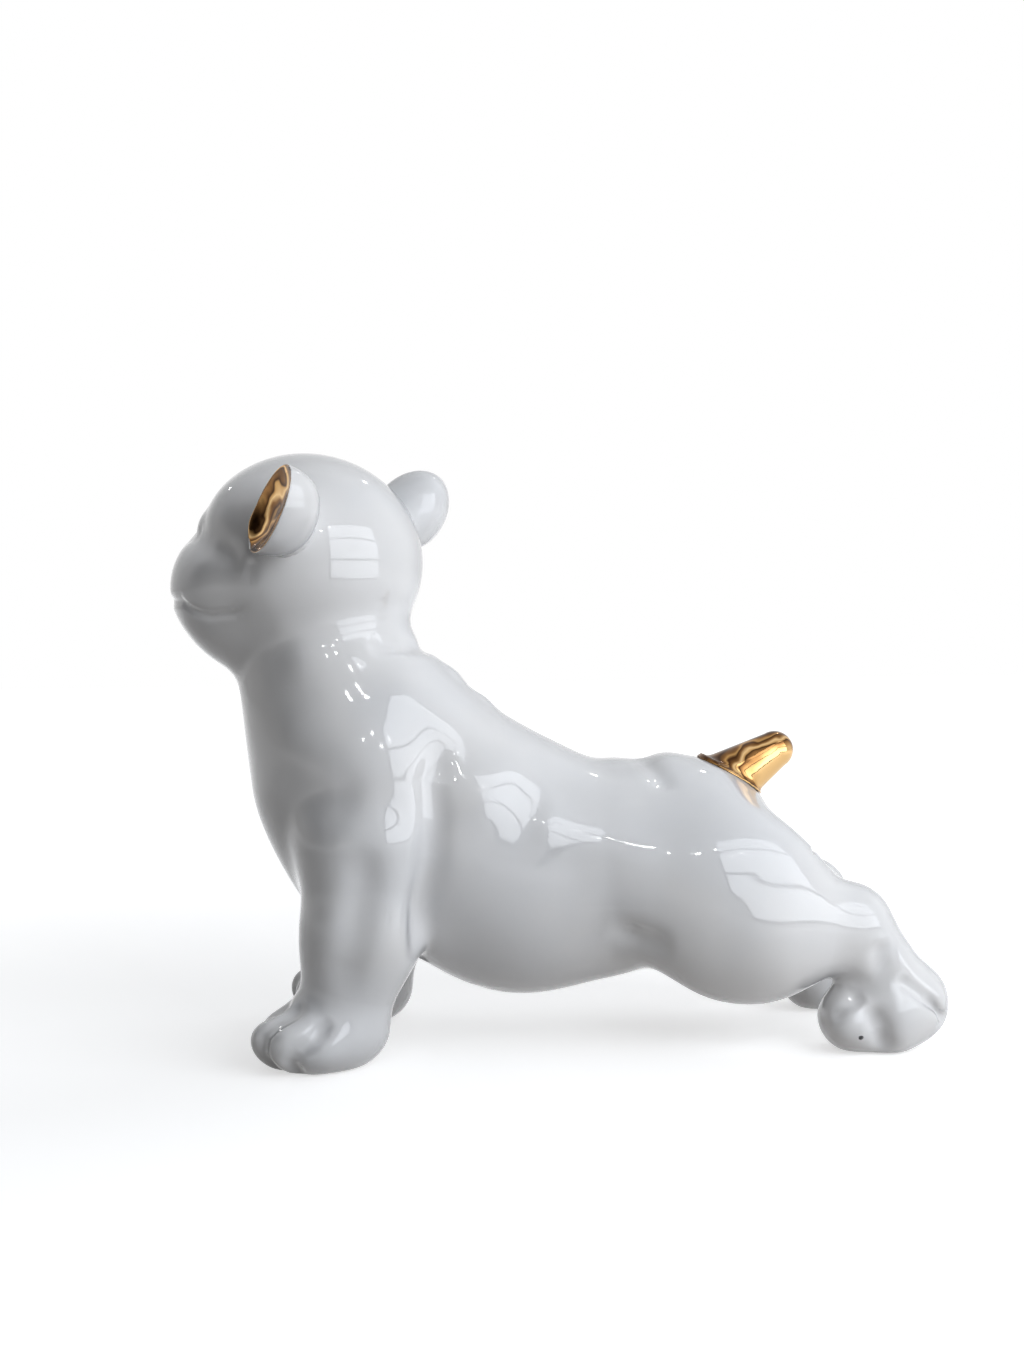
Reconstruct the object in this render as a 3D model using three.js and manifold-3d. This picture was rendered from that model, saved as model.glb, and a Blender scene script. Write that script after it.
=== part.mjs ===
// Porcelain puppy in a low upward stretch, its head turned to its right.
// Millimetres, +Z up. The puppy faces -X and its left side is -Y.
// The body is one blended form of muscle volumes, cast as hollow shells that meet at flat seams.

import * as THREE from 'three';
import { mergeVertices } from 'three/addons/utils/BufferGeometryUtils.js';
import Module from 'manifold-3d';

const wasm = await Module();
wasm.setup();

// Walls and clearances
const WALL = 4;
const SEAM_GAP = 0.3;
const COAT = 0.5;
const VENT_BORE = 1.4;

// Facet size of each skin, and how far it may move when its flat stretches are thinned out
const TORSO_SKIN = { facet: 7.2, thinned: 0.05 };
const HEAD_SKIN = { facet: 2.6, thinned: 0.28 };
const LEG_SKIN = { facet: 3.8, thinned: 0.12 };
const INNER_SKIN = { facet: 12, thinned: 0.05 };
const LEG_INNER_SKIN = { facet: 7, thinned: 0.05 };

// Stations that the rest hangs from: the middle of the hips and the top of the neck
const HIPS = { x: 54, z: 57.5 };
const POLL = { x: -56, z: 112 };

// Trunk: centres on the midline, and half sizes along, across and up
const CHEST = { x: -39.5, z: 70, long: 33, wide: 37, high: 40 };
const BELLY = { x: 2, z: 46, long: 36, wide: 32, high: 32 };
const PELVIS = { x: HIPS.x, z: HIPS.z, long: 28, wide: 32, high: 28.5 };
const NECK = { x: -50, z: 84, topX: POLL.x, topZ: POLL.z, radius: 29.5, topRadius: 27.5 };
const WITHERS = { x: -43, z: 92, rearX: -10, rearZ: 66, radius: 30.5, rearRadius: 30.5 };
const LOIN = { x: -10, z: 61, rearX: HIPS.x - 22, rearZ: HIPS.z - 6.5, radius: 33, rearRadius: 31 };

// Forelegs: how far each joint stands from the midline, and the far leg's step back
const FORELEG_SPREAD = 25;
const RIGHT_FORELEG_BACK = 6;
const SHOULDER = { x: -43, z: 74, long: 19, wide: 14, high: 27 };
const ELBOW = { x: -46.5, z: 38, radius: 16.3 };
const UPPER_ARM = { x: -46, z: 64, radius: 17.5 };
const WRIST = { x: -52, z: 15, radius: 13 };
const FRONT_PAW = { x: -59, z: 8.5, out: 3, long: 19.5, wide: 15, high: 11, turn: 21 };

// Hind legs, stretched back
const HIND_SPREAD = 25;
const HAUNCH = { x: HIPS.x + 11, z: 43, long: 30, wide: 19, high: 28, slope: 24 };
const KNEE = { x: HIPS.x + 19, z: 37.5, radius: 19 };
const HOCK = { x: HIPS.x + 42, z: 37, radius: 12.5 };
const HEEL = { x: HIPS.x + 45.5, z: 36.5, radius: 11 };
const ANKLE = { x: HIPS.x + 61, z: 15.5, radius: 10 };
const FRONT_TOES = { x: HIPS.x + 45, z: 9.5, out: 0, long: 10, wide: 12, high: 10 };
const REAR_TOES = { x: HIPS.x + 56, z: 9.8, out: 1, long: 10, wide: 12, high: 11 };
const HEEL_PAD = { x: HIPS.x + 64.5, z: 13, out: -2, long: 9, wide: 10, high: 10 };
const HIND_PAW = [FRONT_TOES, REAR_TOES, HEEL_PAD];

// Head: its centre and how it is held, in degrees
const HEAD = { x: POLL.x - 4, y: 4, z: POLL.z + 35.5, turn: 30, lift: 14, tilt: 3 };
const SKULL = { long: 32.8, wide: 34, high: 32.2 };
const BROW = { ahead: 9, up: 4, long: 25, wide: 28, high: 24 };
const MUZZLE = { ahead: 26, up: -11, long: 16.5, wide: 25, high: 17 };
const CHEEK = { ahead: 16, out: 16, up: -14, long: 18, wide: 17, high: 18 };
const JAW = { ahead: 12, up: -26, long: 22, wide: 19, high: 12 };
const NOSE = { ahead: 36.5, up: -3, long: 6.5, wide: 8.5, high: 6 };
const EYE = { ahead: 25, out: 17, up: 4, long: 7.5, wide: 7, high: 6.5 };

// Ears: where they stand on the skull, how they lean, and the lobe with its full back and hollow face
const EAR = { behind: 1.2, out: 36, up: 6.3, lean: 10, back: 29, face: 47 };
const LOBE = { height: 28, width: 23, rim: 2.5, cup: 5.5, back: 14 };

// Tail: a cone with a round tip
const TAIL = { x: HIPS.x + 12, z: HIPS.z + 20.5, rise: 32, length: 24, radius: 9.3, tipRadius: 5.6, sunk: 7 };

// How softly the volumes run into each other
const SOFT = 13;
const FIRM = 7;
const FACE_SOFT = 10;
const CRISP = 3;

// Grooves worked into the form, and swellings where the depth is below zero: each hangs from a joint,
// with the points of its path so far along from it, out from the midline and up from it
const TRUNK_MARKS = [
  { from: POLL, wide: 5, deep: -1.3, path: [[38.5, 0, 1.3]] },
  { from: POLL, wide: 4.5, deep: -1.1, path: [[47.6, 0, -6.5]] },
  { from: POLL, wide: 2.8, deep: 1.7,
    path: [[12, -25, 9.5], [23.5, -15, 9.8], [29, 0, 9.2], [23.5, 15, 9.8]] },
  { from: HIPS, wide: 6, deep: -1.2, path: [[-22.3, -8, 28], [-22.3, 8, 28]] },
  { from: HIPS, wide: 6, deep: -1.3, path: [[-6.4, -9, 28.5], [-6.4, 9, 28.5]] },
];
const SIDE_MARKS = [
  { from: HIPS, wide: 3.5, deep: 1, path: [[-15, 0, 27], [-12, 15, 24.5], [-9, 24, 19.5]] },
  { from: HIPS, wide: 10, deep: -1.5,
    path: [[-25, 12, 32.5], [-25, 26, 14.5], [-24.5, 31, 0.5], [-24, 32, -11.5], [-23, 28, -27.5]] },
  { from: HIPS, wide: 4.5, deep: 2.2, path: [[-30, 30, -17.5], [-19, 32, -21], [-8, 36, -23.5]] },
  { from: WITHERS, wide: 9, deep: -1.2, path: [[13, 27, 18], [25, 28, 10], [41, 28, -2]] },
];
const FORELEG_MARKS = [
  { from: UPPER_ARM, wide: 4.2, deep: 2.6,
    path: [[26, 29, 32], [20, 35, 20], [21, 36, 8], [20, 36, -2], [17, 33, -19], [15, 33, -36]] },
  { from: UPPER_ARM, wide: 5.5, deep: 2, path: [[3, 43, 6], [1, 42, -10], [-3, 42, -30], [-7, 40, -44]] },
  { from: UPPER_ARM, wide: 8, deep: 1.3, path: [[-26, 24, 16], [-8, 38, 15], [6, 40, 16]] },
  { from: UPPER_ARM, wide: 10, deep: -1.4, path: [[-17, 30, 30]] },
  { from: UPPER_ARM, wide: 6.5, deep: -1, path: [[8.5, 41, 14], [10.5, 41, -9], [8, 41, -34]] },
];
const HIND_LEG_MARKS = [
  { from: FRONT_TOES, wide: 2.8, deep: 2.2, path: [[1, 37, 7.5], [5, 38, -0.5], [7.5, 34, -9.5]] },
  { from: HEEL_PAD, wide: 2.2, deep: 2, path: [[-9.5, 35, 11], [-1, 36, 4.5], [9.5, 30, -6]] },
  { from: HOCK, wide: 3.4, deep: 1.6, path: [[8, 37, -1], [9, 37, -7], [10.5, 35, -17]] },
  { from: FRONT_TOES, wide: 5, deep: -1.2, path: [[-6, 34.5, -1]] },
  { from: REAR_TOES, wide: 5, deep: -1, path: [[1, 37, 4]] },
];

// On a front paw: degrees outwards from where it points, and above its centre
const TOE_MARKS = [
  { wide: 2.4, deep: 2.8, path: [[46, 58], [24, 30], [15, 12], [13, -6], [13, -50]] },
  { wide: 2.4, deep: 2.6, path: [[92, 34], [65, 10], [52, 0], [44, -12], [36, -50]] },
  { wide: 2.4, deep: 2.6, path: [[0, 56], [-16, 22], [-20, 5], [-21, -50]] },
];

// On the head: degrees round from the nose to one side, and above the head's centre
const FACE_MARKS = [
  { wide: 4.8, deep: 2.4, path: [[16, 4], [46, 5], [67, 5], [92, 2]] },
  { wide: 9, deep: -1.3, path: [[51, 22], [60, 37]] },
  { wide: 8, deep: -1.2, path: [[56, -9], [73, -13]] },
  { wide: 9, deep: -1, path: [[99, -19]] },
  { wide: 6, deep: 1.4, path: [[70, -62], [103, -45], [125, -34]] },
  { wide: 1.7, deep: 1.5,
    path: [[-8, -20], [4, -21], [16, -26], [54, -22], [71, -27], [83, -25], [96, -17]] },
];

// Seams: a point on each flat joint face, and the way it looks from the trunk, in degrees above +X
const NECK_SEAM = { x: POLL.x, z: POLL.z + 2, pitch: 101 };
const FORELEG_SEAM = { x: -46, z: 27, pitch: -118 };
const HIND_SEAM = { x: HIPS.x + 26, z: 42, pitch: -18 };

// The pinhole that vents the shell, through the outer wall of the left hind paw
const VENT = { x: FRONT_TOES.x - 0.5, z: FRONT_TOES.z - 3, from: 60, to: 24 };

const vec = (x, y, z) => new THREE.Vector3(x, y, z);
const radians = THREE.MathUtils.degToRad;
const SIDES = [{ name: 'left', y: -1 }, { name: 'right', y: 1 }];
const TINY = 1e-9;

// The three axes of a frame, as rows: ahead, to the left and up
function axesFrom(ahead, left) {
  const up = ahead.clone().cross(left).normalize();
  return [ahead.clone().normalize(), up.clone().cross(ahead).normalize(), up];
}

const BODY_AXES = axesFrom(vec(-1, 0, 0), vec(0, -1, 0));

function headAxes() {
  const turn = radians(HEAD.turn);
  const lift = radians(HEAD.lift);
  const ahead = vec(-Math.cos(turn) * Math.cos(lift), Math.sin(turn) * Math.cos(lift), Math.sin(lift));
  const left = vec(-Math.sin(turn), -Math.cos(turn), 0).applyAxisAngle(ahead, radians(-HEAD.tilt));
  return axesFrom(ahead, left);
}

const HEAD_AXES = headAxes();
const HEAD_CENTRE = vec(HEAD.x, HEAD.y, HEAD.z);

// A direction in the head's own axes, and a point so far ahead of, left of and above its centre
function headWay(ahead, left, up) {
  const [a, b, c] = HEAD_AXES;
  return vec(0, 0, 0).addScaledVector(a, ahead).addScaledVector(b, left).addScaledVector(c, up);
}

function onHead(ahead, left, up) {
  return HEAD_CENTRE.clone().add(headWay(ahead, left, up));
}

// An ellipsoid volume with half sizes along its three axes
function ball(centre, size, blend, axes = BODY_AXES) {
  const [a, b, c] = [size.long, size.wide, size.high];
  const [u, v, w] = axes;
  return {
    blend,
    distance(x, y, z) {
      const dx = x - centre.x;
      const dy = y - centre.y;
      const dz = z - centre.z;
      const p = (dx * u.x + dy * u.y + dz * u.z) / a;
      const q = (dx * v.x + dy * v.y + dz * v.z) / b;
      const r = (dx * w.x + dy * w.y + dz * w.z) / c;
      const reach = Math.hypot(p, q, r);
      return reach * (reach - 1) / Math.max(Math.hypot(p / a, q / b, r / c), TINY);
    },
  };
}

// A limb drawn tight over a ball at each of its two joints
function limb(from, to, fromRadius, toRadius, blend) {
  const along = to.clone().sub(from).normalize();
  const length = to.distanceTo(from);
  const taper = (fromRadius - toRadius) / length;
  const lean = taper / Math.sqrt(1 - taper * taper);
  return {
    blend,
    distance(x, y, z) {
      const dx = x - from.x;
      const dy = y - from.y;
      const dz = z - from.z;
      const far = dx * along.x + dy * along.y + dz * along.z;
      const gap = Math.sqrt(Math.max(dx * dx + dy * dy + dz * dz - far * far, 0));
      const foot = Math.min(Math.max(far - gap * lean, 0), length);
      return Math.hypot(gap, far - foot) - fromRadius + taper * foot;
    },
  };
}

function trunkVolumes() {
  return [
    ball(vec(CHEST.x, 0, CHEST.z), CHEST, SOFT),
    limb(vec(NECK.x, 0, NECK.z), vec(NECK.topX, 0, NECK.topZ), NECK.radius, NECK.topRadius, SOFT),
    limb(vec(WITHERS.x, 0, WITHERS.z), vec(WITHERS.rearX, 0, WITHERS.rearZ),
      WITHERS.radius, WITHERS.rearRadius, SOFT),
    limb(vec(LOIN.x, 0, LOIN.z), vec(LOIN.rearX, 0, LOIN.rearZ), LOIN.radius, LOIN.rearRadius, SOFT),
    ball(vec(BELLY.x, 0, BELLY.z), BELLY, SOFT),
    ball(vec(PELVIS.x, 0, PELVIS.z), PELVIS, SOFT),
  ];
}

const forelegBack = (side) => (side.y > 0 ? RIGHT_FORELEG_BACK : 0);

function frontPaw(side) {
  const y = side.y * (FORELEG_SPREAD + FRONT_PAW.out);
  const turn = radians(FRONT_PAW.turn);
  return {
    centre: vec(FRONT_PAW.x + forelegBack(side), y, FRONT_PAW.z),
    axes: axesFrom(vec(-Math.cos(turn), side.y * Math.sin(turn), 0), vec(0, -1, 0)),
  };
}

function forelegVolumes(side) {
  const y = side.y * FORELEG_SPREAD;
  const back = forelegBack(side);
  const shoulder = vec(SHOULDER.x + back / 3, y, SHOULDER.z);
  const upperArm = vec(UPPER_ARM.x + back / 2, y, UPPER_ARM.z);
  const elbow = vec(ELBOW.x + back, y, ELBOW.z);
  const wrist = vec(WRIST.x + back, y, WRIST.z);
  const paw = frontPaw(side);
  return [
    ball(shoulder, SHOULDER, FIRM),
    limb(upperArm, elbow, UPPER_ARM.radius, ELBOW.radius, FIRM),
    limb(elbow, wrist, ELBOW.radius, WRIST.radius, FIRM),
    ball(paw.centre, FRONT_PAW, FIRM, paw.axes),
  ];
}

function hindLegVolumes(side) {
  const y = side.y * HIND_SPREAD;
  const slope = radians(HAUNCH.slope);
  const haunchAxes = axesFrom(vec(-Math.cos(slope), 0, Math.sin(slope)), vec(0, -1, 0));
  const paw = HIND_PAW.map((pad) => ball(vec(pad.x, y + side.y * pad.out, pad.z), pad, FIRM));
  return [
    ball(vec(HAUNCH.x, y, HAUNCH.z), HAUNCH, SOFT, haunchAxes),
    limb(vec(KNEE.x, y, KNEE.z), vec(HOCK.x, y, HOCK.z), KNEE.radius, HOCK.radius, FIRM),
    limb(vec(HEEL.x, y, HEEL.z), vec(ANKLE.x, y, ANKLE.z), HEEL.radius, ANKLE.radius, FIRM),
    ...paw,
  ];
}

function headVolumes() {
  const single = (size, blend) => ball(onHead(size.ahead, 0, size.up), size, blend, HEAD_AXES);
  const pair = (size, blend) => SIDES.map((side) =>
    ball(onHead(size.ahead, -side.y * size.out, size.up), size, blend, HEAD_AXES));
  return [
    ball(HEAD_CENTRE, SKULL, FIRM, HEAD_AXES),
    single(BROW, FACE_SOFT),
    single(MUZZLE, FACE_SOFT),
    ...pair(CHEEK, FACE_SOFT),
    single(JAW, FACE_SOFT),
    single(NOSE, CRISP),
    ...pair(EYE, CRISP),
  ];
}

const VOLUMES = [
  ...trunkVolumes(),
  ...SIDES.flatMap(forelegVolumes),
  ...SIDES.flatMap(hindLegVolumes),
  ...headVolumes(),
];

// The distance to the blended volumes, below zero inside them
function plainDistance(x, y, z) {
  let near = Infinity;
  for (const volume of VOLUMES) {
    const next = volume.distance(x, y, z);
    const overlap = Math.max(volume.blend - Math.abs(near - next), 0) / volume.blend;
    near = Math.min(near, next) - overlap * overlap * volume.blend / 4;
  }
  return near;
}

// A soft groove or swelling round a path, that fades out over a share of the path's two halves
const FADE = 0.35;
const MARK_REACH = 3;

function mark(path, { wide, deep }) {
  const stretches = path.slice(1).map((end, i) => new THREE.Line3(path[i], end));
  const bounds = new THREE.Box3().setFromPoints(path).expandByScalar(MARK_REACH * wide);
  const spot = vec(0, 0, 0);
  const nearest = vec(0, 0, 0);
  return (x, y, z) => {
    if (!bounds.containsPoint(spot.set(x, y, z))) return 0;
    let gap = spot.distanceTo(path[0]);
    let along = stretches.length > 0 ? 0 : 0.5;
    stretches.forEach((stretch, i) => {
      const share = stretch.closestPointToPointParameter(spot, true);
      const away = stretch.at(share, nearest).distanceTo(spot);
      if (away >= gap) return;
      gap = away;
      along = (i + share) / stretches.length;
    });
    const inward = Math.min(1 - Math.abs(2 * along - 1), FADE) / FADE;
    return deep * Math.exp(-((gap / wide) ** 2)) * inward * inward * (3 - 2 * inward);
  };
}

// Where a ray from inside the body comes out of it
const RAY = 60;
const RAY_STEP = 1;
const HALVINGS = 8;

function outOf(start, way) {
  const at = (far) => start.clone().addScaledVector(way, far);
  const isInside = (far) => plainDistance(...at(far).toArray()) < 0;
  let inner = 0;
  while (inner < RAY && isInside(inner + RAY_STEP)) inner += RAY_STEP;
  let outer = inner + RAY_STEP;
  for (let i = 0; i < HALVINGS; i += 1) {
    const middle = (inner + outer) / 2;
    if (isInside(middle)) inner = middle;
    else outer = middle;
  }
  return at(inner);
}

// A direction in some axes, so many degrees round from ahead to one side and so many up
function wayIn([ahead, left, up], side, round, rise) {
  const level = Math.cos(radians(rise));
  return vec(0, 0, 0).addScaledVector(ahead, Math.cos(radians(round)) * level)
    .addScaledVector(left, -side.y * Math.sin(radians(round)) * level)
    .addScaledVector(up, Math.sin(radians(rise)));
}

// How a distance function rises, and how points slide down it
const SLIDES = 3;
const REACH = 0.2;
const FLATTEST = 0.5;

function slopeOf(distance, { x, y, z }) {
  const slope = vec(
    distance(x + REACH, y, z) - distance(x - REACH, y, z),
    distance(x, y + REACH, z) - distance(x, y - REACH, z),
    distance(x, y, z + REACH) - distance(x, y, z - REACH),
  );
  return slope.divideScalar(2 * REACH);
}

function settled(distance, point) {
  for (let pass = 0; pass < SLIDES; pass += 1) {
    const slope = slopeOf(distance, point);
    const drop = distance(point.x, point.y, point.z) / Math.max(slope.lengthSq(), FLATTEST ** 2);
    point.addScaledVector(slope, -drop);
  }
  return point;
}

function bodyMarks(marks, side, back = 0) {
  const place = ({ x, z }, [along, out, up]) => vec(x + along + back, side.y * out, z + up);
  const laid = (spec) => spec.path.map((spot) => settled(plainDistance, place(spec.from, spot)));
  return marks.map((spec) => mark(laid(spec), spec));
}

function polarMarks(marks, centre, axes, side) {
  const laid = (spec) => spec.path.map((spot) => outOf(centre, wayIn(axes, side, ...spot)));
  return marks.map((spec) => mark(laid(spec), spec));
}

const MARKS = [
  ...bodyMarks(TRUNK_MARKS, SIDES[0]),
  ...SIDES.flatMap((side) => [
    ...bodyMarks(SIDE_MARKS, side),
    ...bodyMarks(FORELEG_MARKS, side, forelegBack(side)),
    ...bodyMarks(HIND_LEG_MARKS, side),
    ...polarMarks(TOE_MARKS, frontPaw(side).centre, frontPaw(side).axes, side),
    ...polarMarks(FACE_MARKS, HEAD_CENTRE, HEAD_AXES, side),
  ]),
];

// The distance to the whole body with its marks
function bodyDistance(x, y, z) {
  return MARKS.reduce((near, change) => near + change(x, y, z), plainDistance(x, y, z));
}

// A grid cell's corners are numbered by the bits of their place,
// and an edge by its lower corner and its axis
const EDGE_IDS = 24;
const edgeOf = (from, to) => 3 * Math.min(from, to) + Math.log2(from ^ to);
const CELL_FACES = [0, 1, 2].flatMap((axis) => [0, 1].map((side) => {
  const u = 1 << (axis + 1) % 3;
  const v = 1 << (axis + 2) % 3;
  const near = side << axis;
  const corners = [near, near | u, near | u | v, near | v];
  return { corners, edges: corners.map((corner, i) => edgeOf(corner, corners[(i + 1) % 4])) };
}));

// The crossed edges of a cell, gathered into one list for each sheet of the surface in it
function sheetsIn(values) {
  const inside = values.map((value) => value < 0);
  const sheetOf = new Map();
  const link = (one, other) => {
    const joined = [...new Set([...(sheetOf.get(one) ?? [one]), ...(sheetOf.get(other) ?? [other])])];
    for (const edge of joined) sheetOf.set(edge, joined);
  };
  for (const { corners, edges } of CELL_FACES) {
    const crossed = edges.filter((_, i) => inside[corners[i]] !== inside[corners[(i + 1) % 4]]);
    if (crossed.length === 2) link(...crossed);
    if (crossed.length < 4) continue;
    for (let i = 0; i < 4; i += 1) {
      if (inside[corners[i]]) link(edges[(i + 3) % 4], edges[i]);
    }
  }
  return [...new Set(sheetOf.values())];
}

// The middle of the points where the surface crosses some of a cell's edges, in shares of the cell
function middleOf(sheet, values) {
  const sum = [0, 0, 0];
  for (const edge of sheet) {
    const axis = edge % 3;
    const corner = (edge - axis) / 3;
    const here = values[corner];
    const there = values[corner | 1 << axis];
    for (let i = 0; i < 3; i += 1) sum[i] += (corner >> i & 1) + (i === axis ? here / (here - there) : 0);
  }
  return sum.map((value) => value / sheet.length);
}

// A closed skin over a distance function: a vertex for each sheet of the surface in a grid cell,
// slid onto the surface, and a face round each grid edge that the surface crosses
function skin(distance, inner, outer, cell) {
  const low = inner.clone().subScalar(2 * cell);
  const high = outer.clone().addScalar(2 * cell);
  const [nx, ny, nz] = ['x', 'y', 'z'].map((axis) => Math.ceil((high[axis] - low[axis]) / cell) + 1);
  const step = [1, nx, nx * ny];
  const place = (i, j, k) => [low.x + i * cell, low.y + j * cell, low.z + k * cell];
  const nodes = [];
  for (let k = 0; k < nz; k += 1) {
    for (let j = 0; j < ny; j += 1) {
      for (let i = 0; i < nx; i += 1) nodes.push([i, j, k]);
    }
  }
  const field = nodes.map((node) => distance(...place(...node)));
  const cornerSteps = [0, 1, 2, 3, 4, 5, 6, 7].map((corner) =>
    (corner & 1) * step[0] + (corner >> 1 & 1) * step[1] + (corner >> 2) * step[2]);
  const points = [];
  const vertexAt = new Map();
  nodes.forEach(([i, j, k], at) => {
    if (i === nx - 1 || j === ny - 1 || k === nz - 1) return;
    const values = cornerSteps.map((ahead) => field[at + ahead]);
    if (Math.min(...values) >= 0 || Math.max(...values) < 0) return;
    for (const sheet of sheetsIn(values)) {
      const [p, q, r] = middleOf(sheet, values);
      for (const edge of sheet) vertexAt.set(at * EDGE_IDS + edge, points.length / 3);
      points.push(...slide(distance, place(i + p, j + q, k + r), cell));
    }
  });
  const faces = [];
  nodes.forEach((node, at) => {
    for (let axis = 0; axis < 3; axis += 1) {
      const inside = field[at] < 0;
      if (at + step[axis] >= field.length || inside === (field[at + step[axis]] < 0)) continue;
      const u = (axis + 1) % 3;
      const v = (axis + 2) % 3;
      const ring = [[1, 1], [0, 1], [0, 0], [1, 0]].map(([p, q]) => {
        const cellAt = at - p * step[u] - q * step[v];
        return vertexAt.get(cellAt * EDGE_IDS + 3 * (p << u | q << v) + axis);
      });
      const [a, b, c, d] = inside ? ring : ring.reverse();
      faces.push(a, b, c, a, c, d);
    }
  });
  return { points, faces };
}

// Slide a point onto the surface down the slope, by no more than a share of the grid cell
const SLIDE_LIMIT = 0.45;

function slide(distance, start, cell) {
  const point = vec(...start);
  const moved = settled(distance, point.clone()).sub(point).clampLength(0, SLIDE_LIMIT * cell);
  return point.add(moved).toArray();
}

// Push each vertex of a body outwards along the skin's normal
function swell(body, by) {
  const { vertProperties: points, triVerts: faces } = body.getMesh();
  const pushed = [];
  for (let i = 0; i < points.length; i += 3) {
    const point = vec(...points.slice(i, i + 3));
    const normal = slopeOf(bodyDistance, point).normalize();
    pushed.push(...point.addScaledVector(normal, by).toArray());
  }
  return solid({ points: pushed, faces });
}

function solid({ points, faces }) {
  return new wasm.Manifold(new wasm.Mesh({
    numProp: 3,
    vertProperties: new Float32Array(points),
    triVerts: new Uint32Array(faces),
  }));
}

// The solid of a three.js geometry, with its split vertices merged and its empty faces left out
const MERGED = 1e-4;

function solidOf(geometry, matrix) {
  const bare = new THREE.BufferGeometry();
  bare.setAttribute('position', geometry.getAttribute('position').clone());
  if (geometry.index) bare.setIndex(geometry.index.clone());
  bare.applyMatrix4(matrix);
  const merged = mergeVertices(bare, MERGED);
  const index = [...merged.index.array];
  const faces = [];
  for (let i = 0; i < index.length; i += 3) {
    const [a, b, c] = index.slice(i, i + 3);
    if (a !== b && b !== c && c !== a) faces.push(a, b, c);
  }
  return solid({ points: [...merged.getAttribute('position').array], faces });
}

// An upright box between two corners
function room(low, high) {
  const size = high.clone().sub(low);
  const middle = low.clone().add(high).divideScalar(2);
  return solidOf(new THREE.BoxGeometry(size.x, size.y, size.z), new THREE.Matrix4().setPosition(middle));
}

// All of a room that lies past a seam, starting so far beyond it
const FAR = 400;

function beyond(seam, clearance, low, high) {
  const pitch = radians(seam.pitch);
  const look = vec(Math.cos(pitch), 0, Math.sin(pitch));
  const centre = vec(seam.x, 0, seam.z).addScaledVector(look, FAR / 2 + clearance);
  const turn = new THREE.Matrix4().makeRotationY(-pitch).setPosition(centre);
  return solidOf(new THREE.BoxGeometry(FAR, FAR, FAR), turn).intersect(room(low, high));
}

// The body's skin inside a room, drawn in by an inset, with its flat stretches thinned out
function blank(low, high, inset, { facet, thinned }) {
  const capped = (x, y, z) => Math.max(
    bodyDistance(x, y, z) + inset,
    low.x - x, x - high.x, low.y - y, y - high.y, low.z - z, z - high.z,
  );
  return solid(skin(capped, low, high, facet)).simplify(thinned);
}

// Rooms that hold one casting each and reach past its seam
const MARGIN = 12;
const GROUND = room(vec(-FAR, -FAR, -FAR), vec(FAR, FAR, 0));

function headRoom() {
  const reach = MUZZLE.ahead + MUZZLE.long + 2 * MARGIN;
  const low = vec(HEAD.x - reach, HEAD.y - reach, NECK_SEAM.z - 2 * MARGIN);
  return [low, vec(HEAD.x + reach, HEAD.y + reach, HEAD.z + reach)];
}

function torsoRoom() {
  const half = HIND_SPREAD + HAUNCH.wide + CHEST.wide / 2;
  const low = vec(CHEST.x - CHEST.long - 2 * MARGIN, -half, FORELEG_SEAM.z - 2 * MARGIN);
  return [low, vec(HIND_SEAM.x + 2 * MARGIN, half, NECK_SEAM.z + 2 * MARGIN)];
}

function forelegRoom(side) {
  const front = FRONT_PAW.x - FRONT_PAW.long - MARGIN;
  const rear = ELBOW.x + ELBOW.radius + MARGIN + RIGHT_FORELEG_BACK;
  const inner = FORELEG_SPREAD - ELBOW.radius - MARGIN / 4;
  const outer = FORELEG_SPREAD + FRONT_PAW.out + FRONT_PAW.wide + MARGIN;
  return sideRoom(side, [front, rear], [inner, outer], FORELEG_SEAM.z + 2 * MARGIN);
}

function hindRoom(side) {
  const rear = HEEL_PAD.x + HEEL_PAD.long + MARGIN;
  const outer = HIND_SPREAD + HAUNCH.wide + MARGIN;
  return sideRoom(side, [HIND_SEAM.x - 2 * MARGIN, rear], [SEAM_GAP / 2, outer], HIND_SEAM.z + 3 * MARGIN);
}

function sideRoom(side, [front, rear], [inner, outer], top) {
  const ys = [side.y * inner, side.y * outer];
  return [vec(front, Math.min(...ys), -MARGIN), vec(rear, Math.max(...ys), top)];
}

// The hollow of a casting, a wall inside its skin and a wall above the ground
function hollow(low, high, fineness) {
  const floor = vec(low.x, low.y, Math.max(low.z, WALL));
  return blank(floor, high, WALL, fineness);
}

function makeTorso() {
  const shell = blank(...torsoRoom(), 0, TORSO_SKIN).subtract(hollow(...torsoRoom(), INNER_SKIN));
  const seats = [beyond(NECK_SEAM, 0, ...headRoom())];
  for (const side of SIDES) {
    seats.push(beyond(FORELEG_SEAM, 0, ...forelegRoom(side)));
    seats.push(beyond(HIND_SEAM, 0, ...hindRoom(side)));
  }
  return seats.reduce((left, seat) => left.subtract(seat), shell);
}

function makeHead() {
  const shell = blank(...headRoom(), 0, HEAD_SKIN).subtract(hollow(...headRoom(), INNER_SKIN));
  return shell.intersect(beyond(NECK_SEAM, SEAM_GAP, ...headRoom()));
}

function makeLeg(seam, [low, high]) {
  const shell = blank(low, high, 0, LEG_SKIN).subtract(hollow(low, high, LEG_INNER_SKIN));
  return shell.intersect(beyond(seam, SEAM_GAP, low, high)).subtract(GROUND);
}

// The rod that bores the pinhole, pushed in sideways
const VENT_SIDES = 10;

function ventBore() {
  const length = VENT.from - VENT.to;
  const middle = vec(VENT.x, -(VENT.from + VENT.to) / 2, VENT.z);
  const rod = new THREE.CylinderGeometry(VENT_BORE / 2, VENT_BORE / 2, length, VENT_SIDES);
  return solidOf(rod, new THREE.Matrix4().setPosition(middle));
}

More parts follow.
